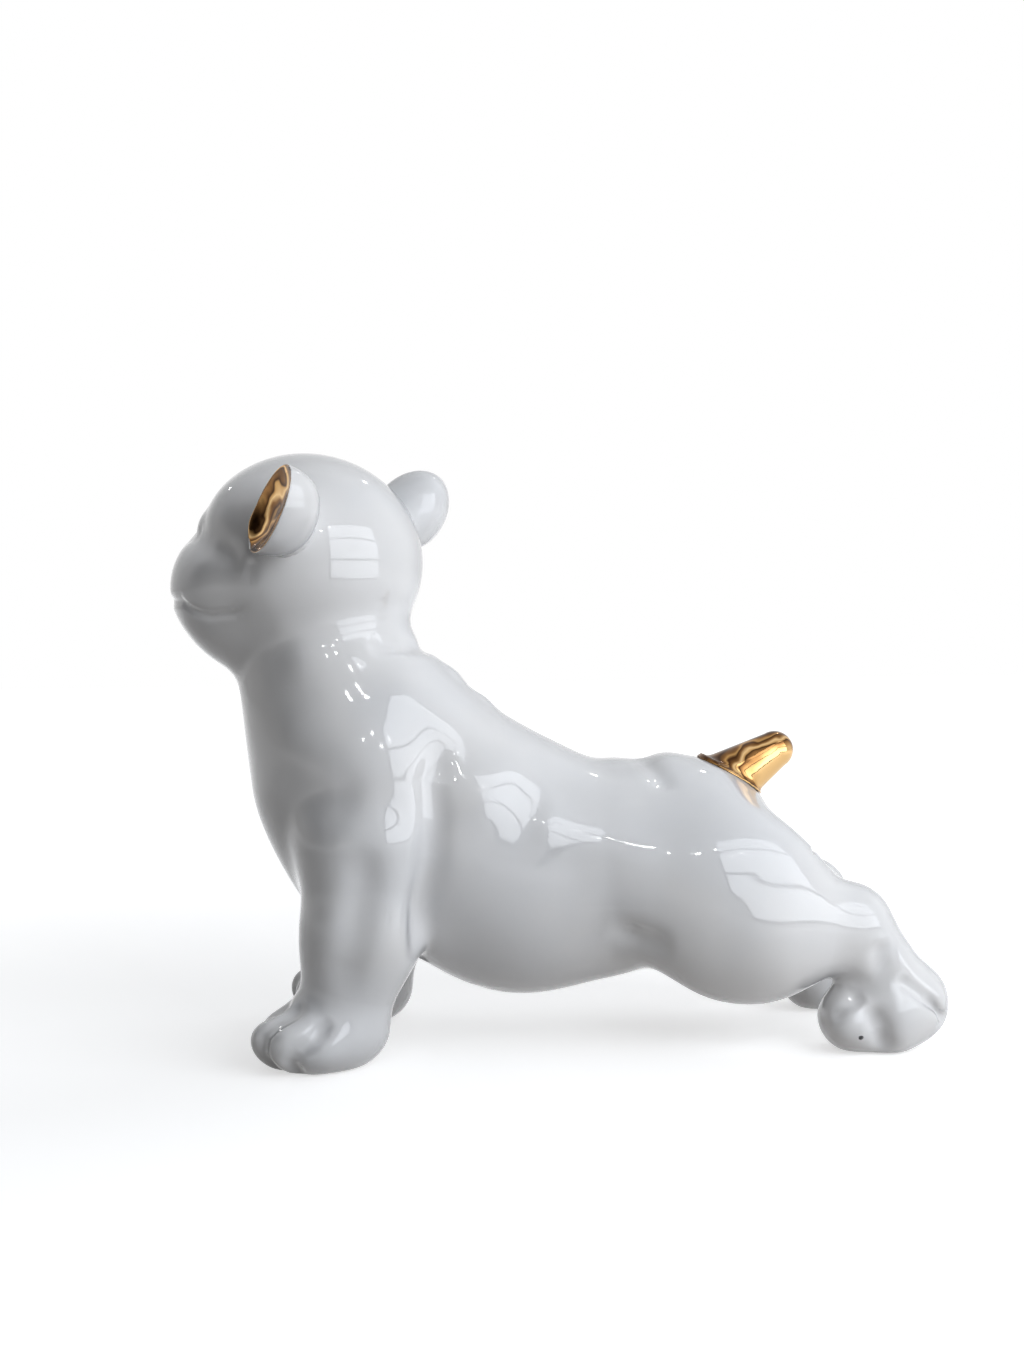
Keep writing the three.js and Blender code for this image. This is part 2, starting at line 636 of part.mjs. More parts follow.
// A closed body through rings of equal count, with a flat fan over each end
function loft(rings) {
  const size = rings[0].length;
  const points = rings.flat().flatMap((point) => point.toArray());
  const faces = [];
  for (let ring = 0; ring < rings.length - 1; ring += 1) {
    for (let i = 0; i < size; i += 1) {
      const a = ring * size + i;
      const b = ring * size + (i + 1) % size;
      faces.push(a, b, b + size, a, b + size, a + size);
    }
  }
  for (const [ring, turn] of [[0, -1], [rings.length - 1, 1]]) {
    const middle = rings[ring].reduce((sum, point) => sum.add(point), vec(0, 0, 0)).divideScalar(size);
    const hub = points.length / 3;
    points.push(...middle.toArray());
    for (let i = 0; i < size; i += 1) {
      const a = ring * size + i;
      const b = ring * size + (i + 1) % size;
      faces.push(...(turn > 0 ? [a, b, hub] : [b, a, hub]));
    }
  }
  return { points, faces };
}

// The ear's own frame: X across the lobe, Y out of its hollow face and Z up its length
function earFrame(side) {
  const out = -side.y;
  const up = headWay(-Math.tan(radians(EAR.back)), out * Math.tan(radians(EAR.lean)), 1).normalize();
  const facing = headWay(Math.cos(radians(EAR.face)), out * Math.sin(radians(EAR.face)), 0);
  const across = facing.clone().cross(up).normalize();
  const face = up.clone().cross(across);
  const root = onHead(-EAR.behind, out * EAR.out, EAR.up);
  return new THREE.Matrix4().makeBasis(across, face, up).setPosition(root);
}

// How wide the egg-shaped lobe is at a share of its height, as a share of its widest
const WIDEST = 0.45;
const FULLNESS = 0.8;

function lobeShare(t) {
  const span = t > WIDEST ? 1 - WIDEST : WIDEST;
  return Math.sqrt(Math.max(1 - ((t - WIDEST) / span) ** 2, 0));
}

// Points of the lobe's section: on its hollow face, lifted off it by so much, and on its full back
function facePoint(t, u, lift) {
  const share = lobeShare(t);
  const bulge = Math.sqrt(1 - u * u);
  const y = LOBE.rim * Math.sqrt(share) * bulge - LOBE.cup * share * bulge * bulge;
  return vec(u * share * LOBE.width / 2, y + lift, t * LOBE.height);
}

function backPoint(t, u) {
  const share = lobeShare(t);
  const y = -LOBE.back * share ** FULLNESS * Math.sqrt(1 - u * u);
  return vec(u * share * LOBE.width / 2, y, t * LOBE.height);
}

// Shares of the lobe's height, closer together towards both ends, and the places across one ring
const SECTION = 8;
const LOBE_RINGS = 10;
const LOBE_END = 0.012;
const GOLD_END = 0.06;

function lobeHeights(end) {
  return Array.from({ length: LOBE_RINGS }, (_, i) =>
    0.5 - (0.5 - end) * Math.cos(i / (LOBE_RINGS - 1) * Math.PI));
}

const lobeAcross = (i) => Math.cos(Math.PI * i / SECTION);

function makeEar(side, seat) {
  const rings = lobeHeights(LOBE_END).map((t) => {
    const ring = [];
    for (let i = 0; i < SECTION; i += 1) ring.push(facePoint(t, lobeAcross(i), 0));
    for (let i = SECTION; i > 0; i -= 1) ring.push(backPoint(t, lobeAcross(i)));
    return ring;
  });
  return solid(placed(loft(rings), earFrame(side))).subtract(seat);
}

// The gold coat on the lobe's hollow face, inside its rim
function makeEarGold(side, seat) {
  const rings = lobeHeights(GOLD_END).map((t) => {
    const ring = [];
    for (let i = 1; i < SECTION; i += 1) ring.push(facePoint(t, lobeAcross(i), SEAM_GAP + COAT));
    for (let i = SECTION - 1; i > 0; i -= 1) ring.push(facePoint(t, lobeAcross(i), SEAM_GAP));
    return ring;
  });
  return solid(placed(loft(rings), earFrame(side))).subtract(seat);
}

function placed({ points, faces }, matrix) {
  const moved = [];
  for (let i = 0; i < points.length; i += 3) {
    moved.push(...vec(...points.slice(i, i + 3)).applyMatrix4(matrix).toArray());
  }
  return { points: moved, faces };
}

// The tail's half profile, swelled by so much, from its sunk root to the top of its round tip
const TIP_STEPS = 4;
const TAIL_SIDES = 16;

function tailProfile(swelled) {
  const tip = TAIL.tipRadius + swelled;
  const profile = [new THREE.Vector2(TAIL.radius + swelled, -TAIL.sunk)];
  for (let i = 0; i <= TIP_STEPS; i += 1) {
    const turn = Math.PI / 2 * i / TIP_STEPS;
    const height = TAIL.length - TAIL.tipRadius + tip * Math.sin(turn);
    profile.push(new THREE.Vector2(i === TIP_STEPS ? 0 : tip * Math.cos(turn), height));
  }
  return profile;
}

// The tail's own frame: Y up its length
function tailFrame() {
  const lean = new THREE.Matrix4().makeRotationY(radians(90 - TAIL.rise));
  const upright = new THREE.Matrix4().makeRotationX(Math.PI / 2);
  return lean.multiply(upright).setPosition(TAIL.x, 0, TAIL.z);
}

function makeTail(seat) {
  const profile = [new THREE.Vector2(0, -TAIL.sunk), ...tailProfile(0)];
  return solidOf(new THREE.LatheGeometry(profile, TAIL_SIDES), tailFrame()).subtract(seat);
}

function makeTailGold(seat) {
  const outside = tailProfile(SEAM_GAP + COAT);
  const inside = tailProfile(SEAM_GAP).reverse();
  const profile = [...outside, ...inside, outside[0]];
  return solidOf(new THREE.LatheGeometry(profile, TAIL_SIDES), tailFrame()).subtract(seat);
}

// The outside of a casting, swelled by the seam gap, that trims what is luted onto it
function seatOn(low, high, fineness) {
  return swell(blank(low, high, 0, fineness), SEAM_GAP);
}

const PORCELAIN = { color: 0xf1f1ee, roughness: 0.08, metalness: 0 };
const GOLD_LUSTRE = { color: 0xd6a45c, roughness: 0.12, metalness: 1 };

function mesh(name, body, finish) {
  const { vertProperties, triVerts } = body.getMesh();
  const geometry = new THREE.BufferGeometry();
  geometry.setAttribute('position', new THREE.BufferAttribute(new Float32Array(vertProperties), 3));
  geometry.setIndex(new THREE.BufferAttribute(new Uint32Array(triVerts), 1));
  geometry.computeVertexNormals();
  const made = new THREE.Mesh(geometry, new THREE.MeshStandardMaterial(finish));
  made.name = name;
  return made;
}

const puppy = new THREE.Group();
const skull = seatOn(...headRoom(), HEAD_SKIN);
const rump = seatOn(...torsoRoom(), TORSO_SKIN);

puppy.add(mesh('torso_casting', makeTorso(), PORCELAIN));
puppy.add(mesh('head_casting', makeHead(), PORCELAIN));
for (const side of SIDES) {
  const hindLeg = makeLeg(HIND_SEAM, hindRoom(side));
  const vented = side.name === 'left' ? hindLeg.subtract(ventBore()) : hindLeg;
  puppy.add(mesh(`${side.name}_foreleg`, makeLeg(FORELEG_SEAM, forelegRoom(side)), PORCELAIN));
  puppy.add(mesh(`${side.name}_hind_leg`, vented, PORCELAIN));
  puppy.add(mesh(`${side.name}_ear`, makeEar(side, skull), PORCELAIN));
  puppy.add(mesh(`${side.name}_ear_gold`, makeEarGold(side, skull), GOLD_LUSTRE));
}
puppy.add(mesh('tail_core', makeTail(rump), PORCELAIN));
puppy.add(mesh('tail_gold', makeTailGold(rump), GOLD_LUSTRE));

// The frame's origin is under the middle of the puppy, on the ground
const box = new THREE.Box3().setFromObject(puppy);
puppy.position.set(-(box.min.x + box.max.x) / 2, -(box.min.y + box.max.y) / 2, -box.min.z);

export default puppy;
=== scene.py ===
"""Looks of a porcelain puppy: clear glaze over white castings, bright gold in the ears and on the tail.

Shapes are worked out in millimetres in the part's design frame, as one blended form of muscle volumes
with soft grooves and bumps worked into it, and are written to meshes in metres in the part's own frame.
The puppy faces -X and its left side is -Y.
"""
import math

import bmesh
import bpy
import numpy as np
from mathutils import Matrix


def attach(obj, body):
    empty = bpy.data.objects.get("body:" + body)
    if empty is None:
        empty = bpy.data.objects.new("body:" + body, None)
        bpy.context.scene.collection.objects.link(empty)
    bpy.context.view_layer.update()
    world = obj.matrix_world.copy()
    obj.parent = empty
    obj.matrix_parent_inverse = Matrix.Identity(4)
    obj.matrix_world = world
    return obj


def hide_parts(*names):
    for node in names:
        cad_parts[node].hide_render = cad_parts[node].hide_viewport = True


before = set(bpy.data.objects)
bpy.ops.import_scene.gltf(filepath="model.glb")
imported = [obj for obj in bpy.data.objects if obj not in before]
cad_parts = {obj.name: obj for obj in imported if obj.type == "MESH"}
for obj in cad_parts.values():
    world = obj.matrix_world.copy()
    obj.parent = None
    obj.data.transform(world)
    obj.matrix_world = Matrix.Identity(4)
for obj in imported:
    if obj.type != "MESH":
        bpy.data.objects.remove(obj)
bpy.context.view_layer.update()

import openvdb
from mathutils import Matrix, Vector

METRE = 0.001

# The point of the design frame that is the part's own origin
FRAME_MIDDLE = (11.908, -0.455, 0.0)

# How much coarser the meshes are while trying things
COARSER = 1.0

# Trunk: centres on the midline, and half sizes along, across and up
CHEST = dict(x=-39.5, z=70, long=33, wide=37, high=40)
BELLY = dict(x=2, z=46, long=36, wide=32, high=32)
PELVIS = dict(x=54, z=57.5, long=28, wide=32, high=28.5)
NECK = dict(x=-50, z=84, top_x=-56, top_z=112, radius=29.5, top_radius=27.5)
WITHERS = dict(x=-43, z=92, rear_x=-10, rear_z=66, radius=30.5, rear_radius=30.5)
LOIN = dict(x=-10, z=61, rear_x=32, rear_z=51, radius=33, rear_radius=31)

# Forelegs
FORELEG_SPREAD = 25
RIGHT_FORELEG_BACK = 6
SHOULDER = dict(x=-43, z=74, long=19, wide=14, high=27)
ELBOW = dict(x=-46.5, z=38, radius=16.3)
UPPER_ARM = dict(x=-46, z=64, radius=17.5)
WRIST = dict(x=-52, z=15, radius=13)
FRONT_PAW = dict(x=-59, z=8.5, out=3, long=19.5, wide=15, high=11, turn=21)

# Hind legs, stretched back
HIND_SPREAD = 25
HAUNCH = dict(x=65, z=43, long=30, wide=19, high=28, slope=24)
KNEE = dict(x=73, z=37.5, radius=19)
HOCK = dict(x=96, z=37, radius=12.5)
HEEL = dict(x=99.5, z=36.5, radius=11)
ANKLE = dict(x=115, z=15.5, radius=10)
HIND_TOES = [
    dict(x=99, z=9.5, out=0, long=10, wide=12, high=10),
    dict(x=110, z=9.8, out=1, long=10, wide=12, high=11),
    dict(x=118.5, z=13, out=-2, long=9, wide=10, high=10),
]

# Head: its centre and how it is held, in degrees
HEAD = dict(x=-60, y=4, z=147.5, turn=30, lift=14, tilt=3)
SKULL = dict(long=32.8, wide=34, high=32.2)
BROW = dict(ahead=9, up=4, long=25, wide=28, high=24)
MUZZLE = dict(ahead=26, up=-11, long=16.5, wide=25, high=17)
CHEEK = dict(ahead=16, out=16, up=-14, long=18, wide=17, high=18)
JAW = dict(ahead=12, up=-26, long=22, wide=19, high=12)
NOSE = dict(ahead=36.5, up=-3, long=6.5, wide=8.5, high=6)
EYE = dict(ahead=25, out=17, up=4, long=7.5, wide=7, high=6.5)

# Ears and tail
EAR = dict(behind=1.2, out=36, up=6.3, lean=10, back=29, face=47)
LOBE = dict(height=28, width=23, rim=2.5, cup=5.5, back=14)
TAIL = dict(x=66, z=78, rise=32, length=24, radius=9.3, tip_radius=5.6, sunk=7)

# The pinhole that vents the left hind paw, bored in from its side
VENT = dict(x=98.5, z=6.5, start=60, end=28, bore=1.4)

# How softly the volumes run into each other
SOFT = 13
FIRM = 7
FACE_SOFT = 10
CRISP = 3

# Seams between the castings: a point on each, and where it looks from the trunk, in degrees above +X
NECK_SEAM = dict(x=-56, z=114, pitch=101)
FORELEG_SEAM = dict(x=-46, z=27, pitch=-118)
HIND_SEAM = dict(x=80, z=42, pitch=-18)

LEFT, RIGHT = -1, 1
SIDE_NAMES = {LEFT: "left", RIGHT: "right"}
TINY = 1e-9


def unit(v):
    return np.asarray(v, float) / np.linalg.norm(v)


def axes_from(ahead, left):
    """Rows: ahead, to the left and up."""
    ahead = unit(ahead)
    up = unit(np.cross(ahead, left))
    return np.array([ahead, np.cross(up, ahead), up])


def head_axes():
    turn, lift, tilt = (math.radians(HEAD[key]) for key in ("turn", "lift", "tilt"))
    ahead = (-math.cos(turn) * math.cos(lift), math.sin(turn) * math.cos(lift), math.sin(lift))
    left = Matrix.Rotation(-tilt, 3, Vector(ahead)) @ Vector((-math.sin(turn), -math.cos(turn), 0))
    return axes_from(ahead, left)


BODY_AXES = axes_from((-1, 0, 0), (0, -1, 0))
HEAD_AXES = head_axes()
HEAD_CENTRE = np.array([HEAD["x"], HEAD["y"], HEAD["z"]], float)


def head_way(ahead, left, up):
    return np.array([ahead, left, up], float) @ HEAD_AXES


def on_head(ahead, left, up):
    return HEAD_CENTRE + head_way(ahead, left, up)


class Ball:
    """An ellipsoid volume with half sizes along its three axes."""

    def __init__(self, centre, size, blend, axes=BODY_AXES):
        self.centre = np.array(centre, float)
        self.half = np.array([size["long"], size["wide"], size["high"]], float)
        self.axes = axes
        self.blend = blend
        reach = np.sqrt(((self.half[:, None] * axes) ** 2).sum(0))
        self.low, self.high = self.centre - reach, self.centre + reach

    def distance(self, points):
        local = (points - self.centre) @ self.axes.T
        near = np.linalg.norm(local / self.half, axis=1)
        steep = np.linalg.norm(local / self.half**2, axis=1)
        return near * (near - 1) / np.maximum(steep, TINY)


class Limb:
    """A round limb that tapers from one joint to the next, drawn tight over a ball at each."""

    def __init__(self, start, end, radius, end_radius, blend):
        self.start, self.end = np.array(start, float), np.array(end, float)
        self.radius, self.end_radius, self.blend = radius, end_radius, blend
        self.low = np.minimum(self.start - radius, self.end - end_radius)
        self.high = np.maximum(self.start + radius, self.end + end_radius)

    def distance(self, points):
        bone = self.end - self.start
        length = np.linalg.norm(bone)
        taper = (self.radius - self.end_radius) / length
        along = (points - self.start) @ bone / length
        gap = np.sqrt(np.maximum(((points - self.start) ** 2).sum(1) - along**2, 0))
        foot = np.clip(along - gap * taper / math.sqrt(1 - taper**2), 0, length)
        return np.hypot(gap, along - foot) - self.radius + taper * foot


# A mark fades out over a share of each half of its path, or over so many widths if that is more.
# One that is shorter than so many widths is just round.
FADE = 0.35
RUN_OUT = 2.0
SHORT = 4.0


class Mark:
    """A soft groove along a path, or a bump where its depth is below zero."""

    def __init__(self, path, width, depth):
        self.path = [np.array(point, float) for point in path]
        self.width, self.depth = width, depth
        length = sum(np.linalg.norm(end - start) for start, end in zip(self.path, self.path[1:]))
        self.fade = min(max(FADE, RUN_OUT * width / (length / 2)), 1) if length > SHORT * width else None
        reach = 3 * width
        self.low, self.high = np.min(self.path, axis=0) - reach, np.max(self.path, axis=0) + reach

    def change(self, points):
        pairs = list(zip(self.path, self.path[1:])) or [(self.path[0], self.path[0])]
        found = np.array([to_line(points, start, end) for start, end in pairs])
        nearest = np.argmin(found[:, 0], axis=0)
        gap, share = np.take_along_axis(found, nearest[None, None], axis=0)[0]
        change = self.depth * np.exp(-((gap / self.width) ** 2))
        if self.fade is None:
            return change
        inward = np.minimum(1 - np.abs(2 * (nearest + share) / len(pairs) - 1), self.fade) / self.fade
        return change * inward * inward * (3 - 2 * inward)


def to_line(points, start, end):
    """How far each point lies from a stretch of line, and at what share of the way along it."""
    along = end - start
    share = np.clip((points - start) @ along / max(along @ along, TINY), 0, 1)
    return np.linalg.norm(points - start - share[:, None] * along, axis=1), share


def trunk_volumes():
    def spine(limb, end, blend=SOFT):
        start = (limb["x"], 0, limb["z"])
        finish = (limb[end + "_x"], 0, limb[end + "_z"])
        return Limb(start, finish, limb["radius"], limb[end + "_radius"], blend)

    return [
        Ball((CHEST["x"], 0, CHEST["z"]), CHEST, SOFT),
        spine(NECK, "top"),
        spine(WITHERS, "rear"),
        spine(LOIN, "rear"),
        Ball((BELLY["x"], 0, BELLY["z"]), BELLY, SOFT),
        Ball((PELVIS["x"], 0, PELVIS["z"]), PELVIS, SOFT),
    ]


def foreleg_back(side):
    return RIGHT_FORELEG_BACK if side == RIGHT else 0


def front_paw(side):
    """The centre and the axes of a front paw."""
    centre = np.array([FRONT_PAW["x"] + foreleg_back(side),
                       side * (FORELEG_SPREAD + FRONT_PAW["out"]), FRONT_PAW["z"]])
    turn = math.radians(FRONT_PAW["turn"])
    return centre, axes_from((-math.cos(turn), side * math.sin(turn), 0), (0, -1, 0))


def foreleg_volumes(side):
    """Volumes of a foreleg. One that stands further back takes its upper parts back less far."""
    y, back = side * FORELEG_SPREAD, foreleg_back(side)
    shoulder = (SHOULDER["x"] + back / 3, y, SHOULDER["z"])
    upper_arm = (UPPER_ARM["x"] + back / 2, y, UPPER_ARM["z"])
    elbow = (ELBOW["x"] + back, y, ELBOW["z"])
    wrist = (WRIST["x"] + back, y, WRIST["z"])
    paw, paw_axes = front_paw(side)
    return [
        Ball(shoulder, SHOULDER, FIRM),
        Limb(upper_arm, elbow, UPPER_ARM["radius"], ELBOW["radius"], FIRM),
        Limb(elbow, wrist, ELBOW["radius"], WRIST["radius"], FIRM),
        Ball(paw, FRONT_PAW, FIRM, paw_axes),
    ]


def hind_leg_volumes(side):
    y, slope = side * HIND_SPREAD, math.radians(HAUNCH["slope"])
    haunch_axes = axes_from((-math.cos(slope), 0, math.sin(slope)), (0, -1, 0))

    def bone(start, end):
        return Limb((start["x"], y, start["z"]), (end["x"], y, end["z"]),
                    start["radius"], end["radius"], FIRM)

    haunch = Ball((HAUNCH["x"], y, HAUNCH["z"]), HAUNCH, SOFT, haunch_axes)
    toes = [Ball((toe["x"], y + side * toe["out"], toe["z"]), toe, FIRM) for toe in HIND_TOES]
    return [haunch, bone(KNEE, HOCK), bone(HEEL, ANKLE), *toes]


def head_ball(size, blend, left=0):
    return Ball(on_head(size["ahead"], left, size["up"]), size, blend, HEAD_AXES)


def head_volumes():
    return [
        Ball(HEAD_CENTRE, SKULL, FIRM, HEAD_AXES),
        head_ball(BROW, FACE_SOFT),
        head_ball(MUZZLE, FACE_SOFT),
        *[head_ball(CHEEK, FACE_SOFT, -side * CHEEK["out"]) for side in (LEFT, RIGHT)],
        head_ball(JAW, FACE_SOFT),
    ]


def face_volumes():
    return [
        head_ball(NOSE, CRISP),
        *[head_ball(EYE, CRISP, -side * EYE["out"]) for side in (LEFT, RIGHT)],
    ]


VOLUMES = [*trunk_volumes(), *foreleg_volumes(LEFT), *foreleg_volumes(RIGHT),
           *hind_leg_volumes(LEFT), *hind_leg_volumes(RIGHT), *head_volumes(), *face_volumes()]

# None yet: they are placed on the skin that the volumes give, and then count in it themselves
MARKS = []

# The distance where no volume is near, and how far outside its box a volume still counts
FAR = 1000.0
REACH = SOFT + 4


def blend_in(near, next_near, blend):
    overlap = np.maximum(blend - np.abs(near - next_near), 0) / blend
    return np.minimum(near, next_near) - overlap * overlap * blend / 4


def in_box(points, low, high):
    """Which points lie between two corners."""
    return np.flatnonzero(np.all((points > low) & (points < high), axis=1))


def body_distance(points):
    """The distance from each point to the blended, marked body, below zero inside it."""
    near = np.full(len(points), FAR)
    for volume in VOLUMES:
        close = in_box(points, volume.low - REACH, volume.high + REACH)
        near[close] = blend_in(near[close], volume.distance(points[close]), volume.blend)
    for mark in MARKS:
        close = in_box(points, mark.low, mark.high)
        near[close] += mark.change(points[close])
    return near


# How far the edge of a sole is rounded over
SOLE_ROUND = 1.2


def standing_distance(points):
    """The body cut flat on the ground, with its edge rounded over."""
    return -blend_in(-body_distance(points), points[:, 2], SOLE_ROUND)


# A slope comes from the corners of a small tetrahedron, and its square never counts as less than this
SLOPE_REACH = 0.25
CORNERS = np.array([(1, -1, -1), (-1, -1, 1), (-1, 1, -1), (1, 1, 1)], float)
LEAST_SLOPE = 0.25


def slope_of(distance, points):
    """How steeply, and which way, a distance grows at each point."""
    growth = sum(corner * distance(points + SLOPE_REACH * corner)[:, None] for corner in CORNERS)
    return growth / (4 * SLOPE_REACH)


# A ray is tried at so many places over its length, and its last step is then halved so many times
RAY_LENGTH = 70.0
RAY_PLACES = 141
RAY_HALVINGS = 12


def surface_from(origin, way):
    """Where a ray from inside the body comes out of it."""
    way = unit(way)
    steps = np.linspace(0.0, RAY_LENGTH, RAY_PLACES)
    first = int(np.argmax(body_distance(origin + steps[:, None] * way) > 0))
    low, high = steps[max(first - 1, 0)], steps[first]
    for _ in range(RAY_HALVINGS):
        middle = (low + high) / 2
        if body_distance(np.array([origin + middle * way]))[0] > 0:
            high = middle
        else:
            low = middle
    return origin + high * way


def head_point(turn, rise):
    """The skin of the head, so many degrees to the left of its nose and above its centre."""
    turn, rise = math.radians(turn), math.radians(rise)
    way = head_way(math.cos(turn) * math.cos(rise), math.sin(turn) * math.cos(rise), math.sin(rise))
    return surface_from(HEAD_CENTRE, way)


def paw_point(side, angle, rise):
    """The skin of a front paw, so many degrees outwards from where it points and above its centre."""
    centre, axes = front_paw(side)
    angle, rise = math.radians(angle), math.radians(rise)
    out = -side * math.sin(angle) * math.cos(rise)
    return surface_from(centre, np.array([math.cos(angle) * math.cos(rise), out, math.sin(rise)]) @ axes)


# How often points of a mark, and points of a mesh, are slid onto the skin
MARK_SLIDES = 3
MESH_SLIDES = 2


def settled(path):
    """Points slid onto the skin."""
    path = np.array(path, float)
    for _ in range(MARK_SLIDES):
        slope = slope_of(body_distance, path)
        steep = np.maximum((slope**2).sum(1, keepdims=True), LEAST_SLOPE)
        path = path - body_distance(path)[:, None] * slope / steep
    return path


# Grooves, and bumps where the depth is below zero: width and depth, then points on the path.
# On the trunk and legs a point is x, distance out from the midline, and height.
SPINE_MARKS = [
    (5.0, -1.3, [(-17.5, 0, 113.3)]),
    (4.5, -1.1, [(-8.4, 0, 105.5)]),
    (6.0, -1.2, [(31.7, -4, 85.4), (31.7, 4, 85.4)]),
    (6.0, -1.3, [(47.6, -5, 86.3), (47.6, 5, 86.3)]),
    (2.8, 1.7, [(-44, -25, 121.5), (-38.9, -20.8, 122), (-32.5, -15.2, 121.8), (-26.9, -5, 121.2),
                (-26.9, 5, 121.2), (-32.5, 15.2, 121.8), (-38.9, 20.8, 122)]),
]
SIDE_MARKS = [
    (3.5, 1.0, [(38.9, 0, 84.7), (42, 14.9, 82), (45.1, 24, 77)]),
    (10.0, -1.5, [(29, 12, 90), (29, 26, 72), (29.5, 31, 58), (30, 32, 46), (31, 28, 30)]),
    (4.5, 2.2, [(24, 30, 40), (30.5, 30.5, 38.4), (34.8, 31.6, 36.2), (40.2, 34.7, 34.7), (46, 36, 34)]),
    (9.0, -1.2, [(-30, 27, 110), (-18, 28, 102), (-2, 28, 90)]),
    (8.0, -2.0, [(-10, 28, 97), (-10, 33, 78), (-10, 34, 64)]),
    (7.0, -1.6, [(2, 33, 73), (10, 33, 69), (24, 32, 64), (46, 33, 58)]),
    (15.0, -2.2, [(30, 33, 88), (30, 34, 58)]),
]
FORELEG_MARKS = [
    (4.2, 2.6, [(-20.3, 28.9, 96), (-25.9, 35.1, 83.8), (-24.7, 36.3, 72.5),
                (-25.7, 36, 61.5), (-29.4, 32.9, 45.2), (-31.3, 33, 28)]),
    (5.5, 2.0, [(-43, 42.8, 70), (-45.2, 42.1, 53.8), (-47, 42.9, 42.7), (-48.9, 42.4, 34.1),
                (-53, 39.9, 20)]),
    (8.0, 1.3, [(-72, 24, 80), (-54, 38, 79), (-40, 40, 80)]),
    (10.0, -1.4, [(-62.8, 29.7, 93.7)]),
    (6.5, -1.0, [(-37.5, 41.5, 78), (-35.5, 41.1, 55), (-38, 41, 30)]),
]
HIND_LEG_MARKS = [
    (2.8, 2.2, [(100, 37, 17), (103.9, 37.6, 8.9), (106.5, 34, 0)]),
    (1.9, 2.0, [(109, 35, 24), (117.7, 35.9, 17.5), (128, 30, 7)]),
    (3.4, 1.6, [(104.2, 36.8, 36), (104.8, 36.6, 30), (106.5, 35.3, 20)]),
    (2.2, 1.0, [(89.5, 33.2, 9), (94.6, 33.9, 14.6), (101, 33.7, 18)]),
    (5.0, -1.2, [(92.9, 34.5, 8.3)]),
    (5.0, -1.0, [(111.3, 37.3, 14)]),
    (4.0, -0.8, [(123.4, 33.2, 16.7)]),
]
# On a front paw: degrees outwards from where it points, and above its centre
PAW_MARKS = [
    (2.4, 2.8, [(46, 58), (24, 30), (15, 12), (13, -6), (13, -50)]),
    (2.4, 2.6, [(92, 34), (65, 10), (52, 0), (44, -12), (36, -50)]),
    (2.4, 2.6, [(0, 56), (-16, 22), (-20, 5), (-21, -50)]),
    (5.0, -0.8, [(31, 15)]),
    (5.0, -0.8, [(80, -4)]),
    (5.0, -0.8, [(-3, 10)]),
]
# On the head: degrees round from the nose to the left, and above the head's centre
HEAD_SIDE_MARKS = [
    (1.5, 0.9, [(-8, -20), (4, -21), (16, -26), (38, -24), (54, -22),
                (61, -25), (71, -27), (83, -25), (96, -17)]),
    (4.8, 1.5, [(16, 4), (46, 5), (67, 5), (92, 2)]),
    (10.0, -1.1, [(56, 30)]),
    (9.0, -1.2, [(65, -11)]),
    (9.0, -1.0, [(99, -19)]),
    (2.4, 0.4, [(91, 5), (92, 0), (95, -12)]),
    (6.0, 1.0, [(70, -62), (103, -45), (125, -34)]),
    (1.2, 1.1, [(23, 10), (27, 5), (34, 2.5), (41, 5), (45, 10)]),
    (1.4, 1.5, [(6.5, -1)]),
]
HEAD_FRONT_MARKS = [
    (1.2, 0.9, [(0, -5), (0, -24)]),
    (3.0, 1.0, [(0, 10), (0, 60)]),
]


def make_marks():
    made = [Mark(settled(path), width, depth) for width, depth, path in SPINE_MARKS]
    for side in (LEFT, RIGHT):
        for marks, back in ((SIDE_MARKS, 0), (FORELEG_MARKS, foreleg_back(side)), (HIND_LEG_MARKS, 0)):
            for width, depth, path in marks:
                path = settled([(x + back, side * out, z) for x, out, z in path])
                made.append(Mark(path, width, depth))
        for width, depth, path in PAW_MARKS:
            made.append(Mark([paw_point(side, *spot) for spot in path], width, depth))
        for width, depth, path in HEAD_SIDE_MARKS:
            made.append(Mark([head_point(-side * turn, rise) for turn, rise in path], width, depth))
    for width, depth, path in HEAD_FRONT_MARKS:
        made.append(Mark([head_point(*spot) for spot in path], width, depth))
    return made


MARKS = make_marks()


def skin(low, high, cell):
    """The body's skin inside a room, as points slid onto it, triangles and quads."""
    low, high = np.asarray(low, float), np.asarray(high, float)
    counts = np.ceil((high - low) / cell).astype(int) + 3
    lines = [low[i] + cell * (np.arange(counts[i]) - 1) for i in range(3)]
    points = np.stack(np.meshgrid(*lines, indexing="ij"), -1).reshape(-1, 3)
    walls = np.max(np.maximum(low - points, points - high), axis=1)
    field = np.maximum(standing_distance(points), walls).reshape(counts)
    grid = openvdb.FloatGrid(FAR)
    grid.copyFromArray(field.astype(np.float32))
    found, triangles, quads = grid.convertToPolygons(isovalue=0.0, adaptivity=0.0)
    found = found.astype(float) * cell + np.array([line[0] for line in lines])
    on_skin = np.all((found > low + cell) & (found < high - cell), axis=1)
    moved = found[on_skin]
    for _ in range(MESH_SLIDES):
        slope = slope_of(standing_distance, moved)
        drop = standing_distance(moved) / np.maximum((slope**2).sum(1), LEAST_SLOPE)
        step = drop[:, None] * slope
        length = np.linalg.norm(step, axis=1, keepdims=True)
        moved = moved - step * np.minimum(1, cell / np.maximum(length, TINY))
    found[on_skin] = moved
    return found, [*triangles.tolist(), *quads.tolist()]


def seam_plane(seam):
    pitch = math.radians(seam["pitch"])
    return Vector((seam["x"], 0, seam["z"])), Vector((math.cos(pitch), 0, math.sin(pitch)))


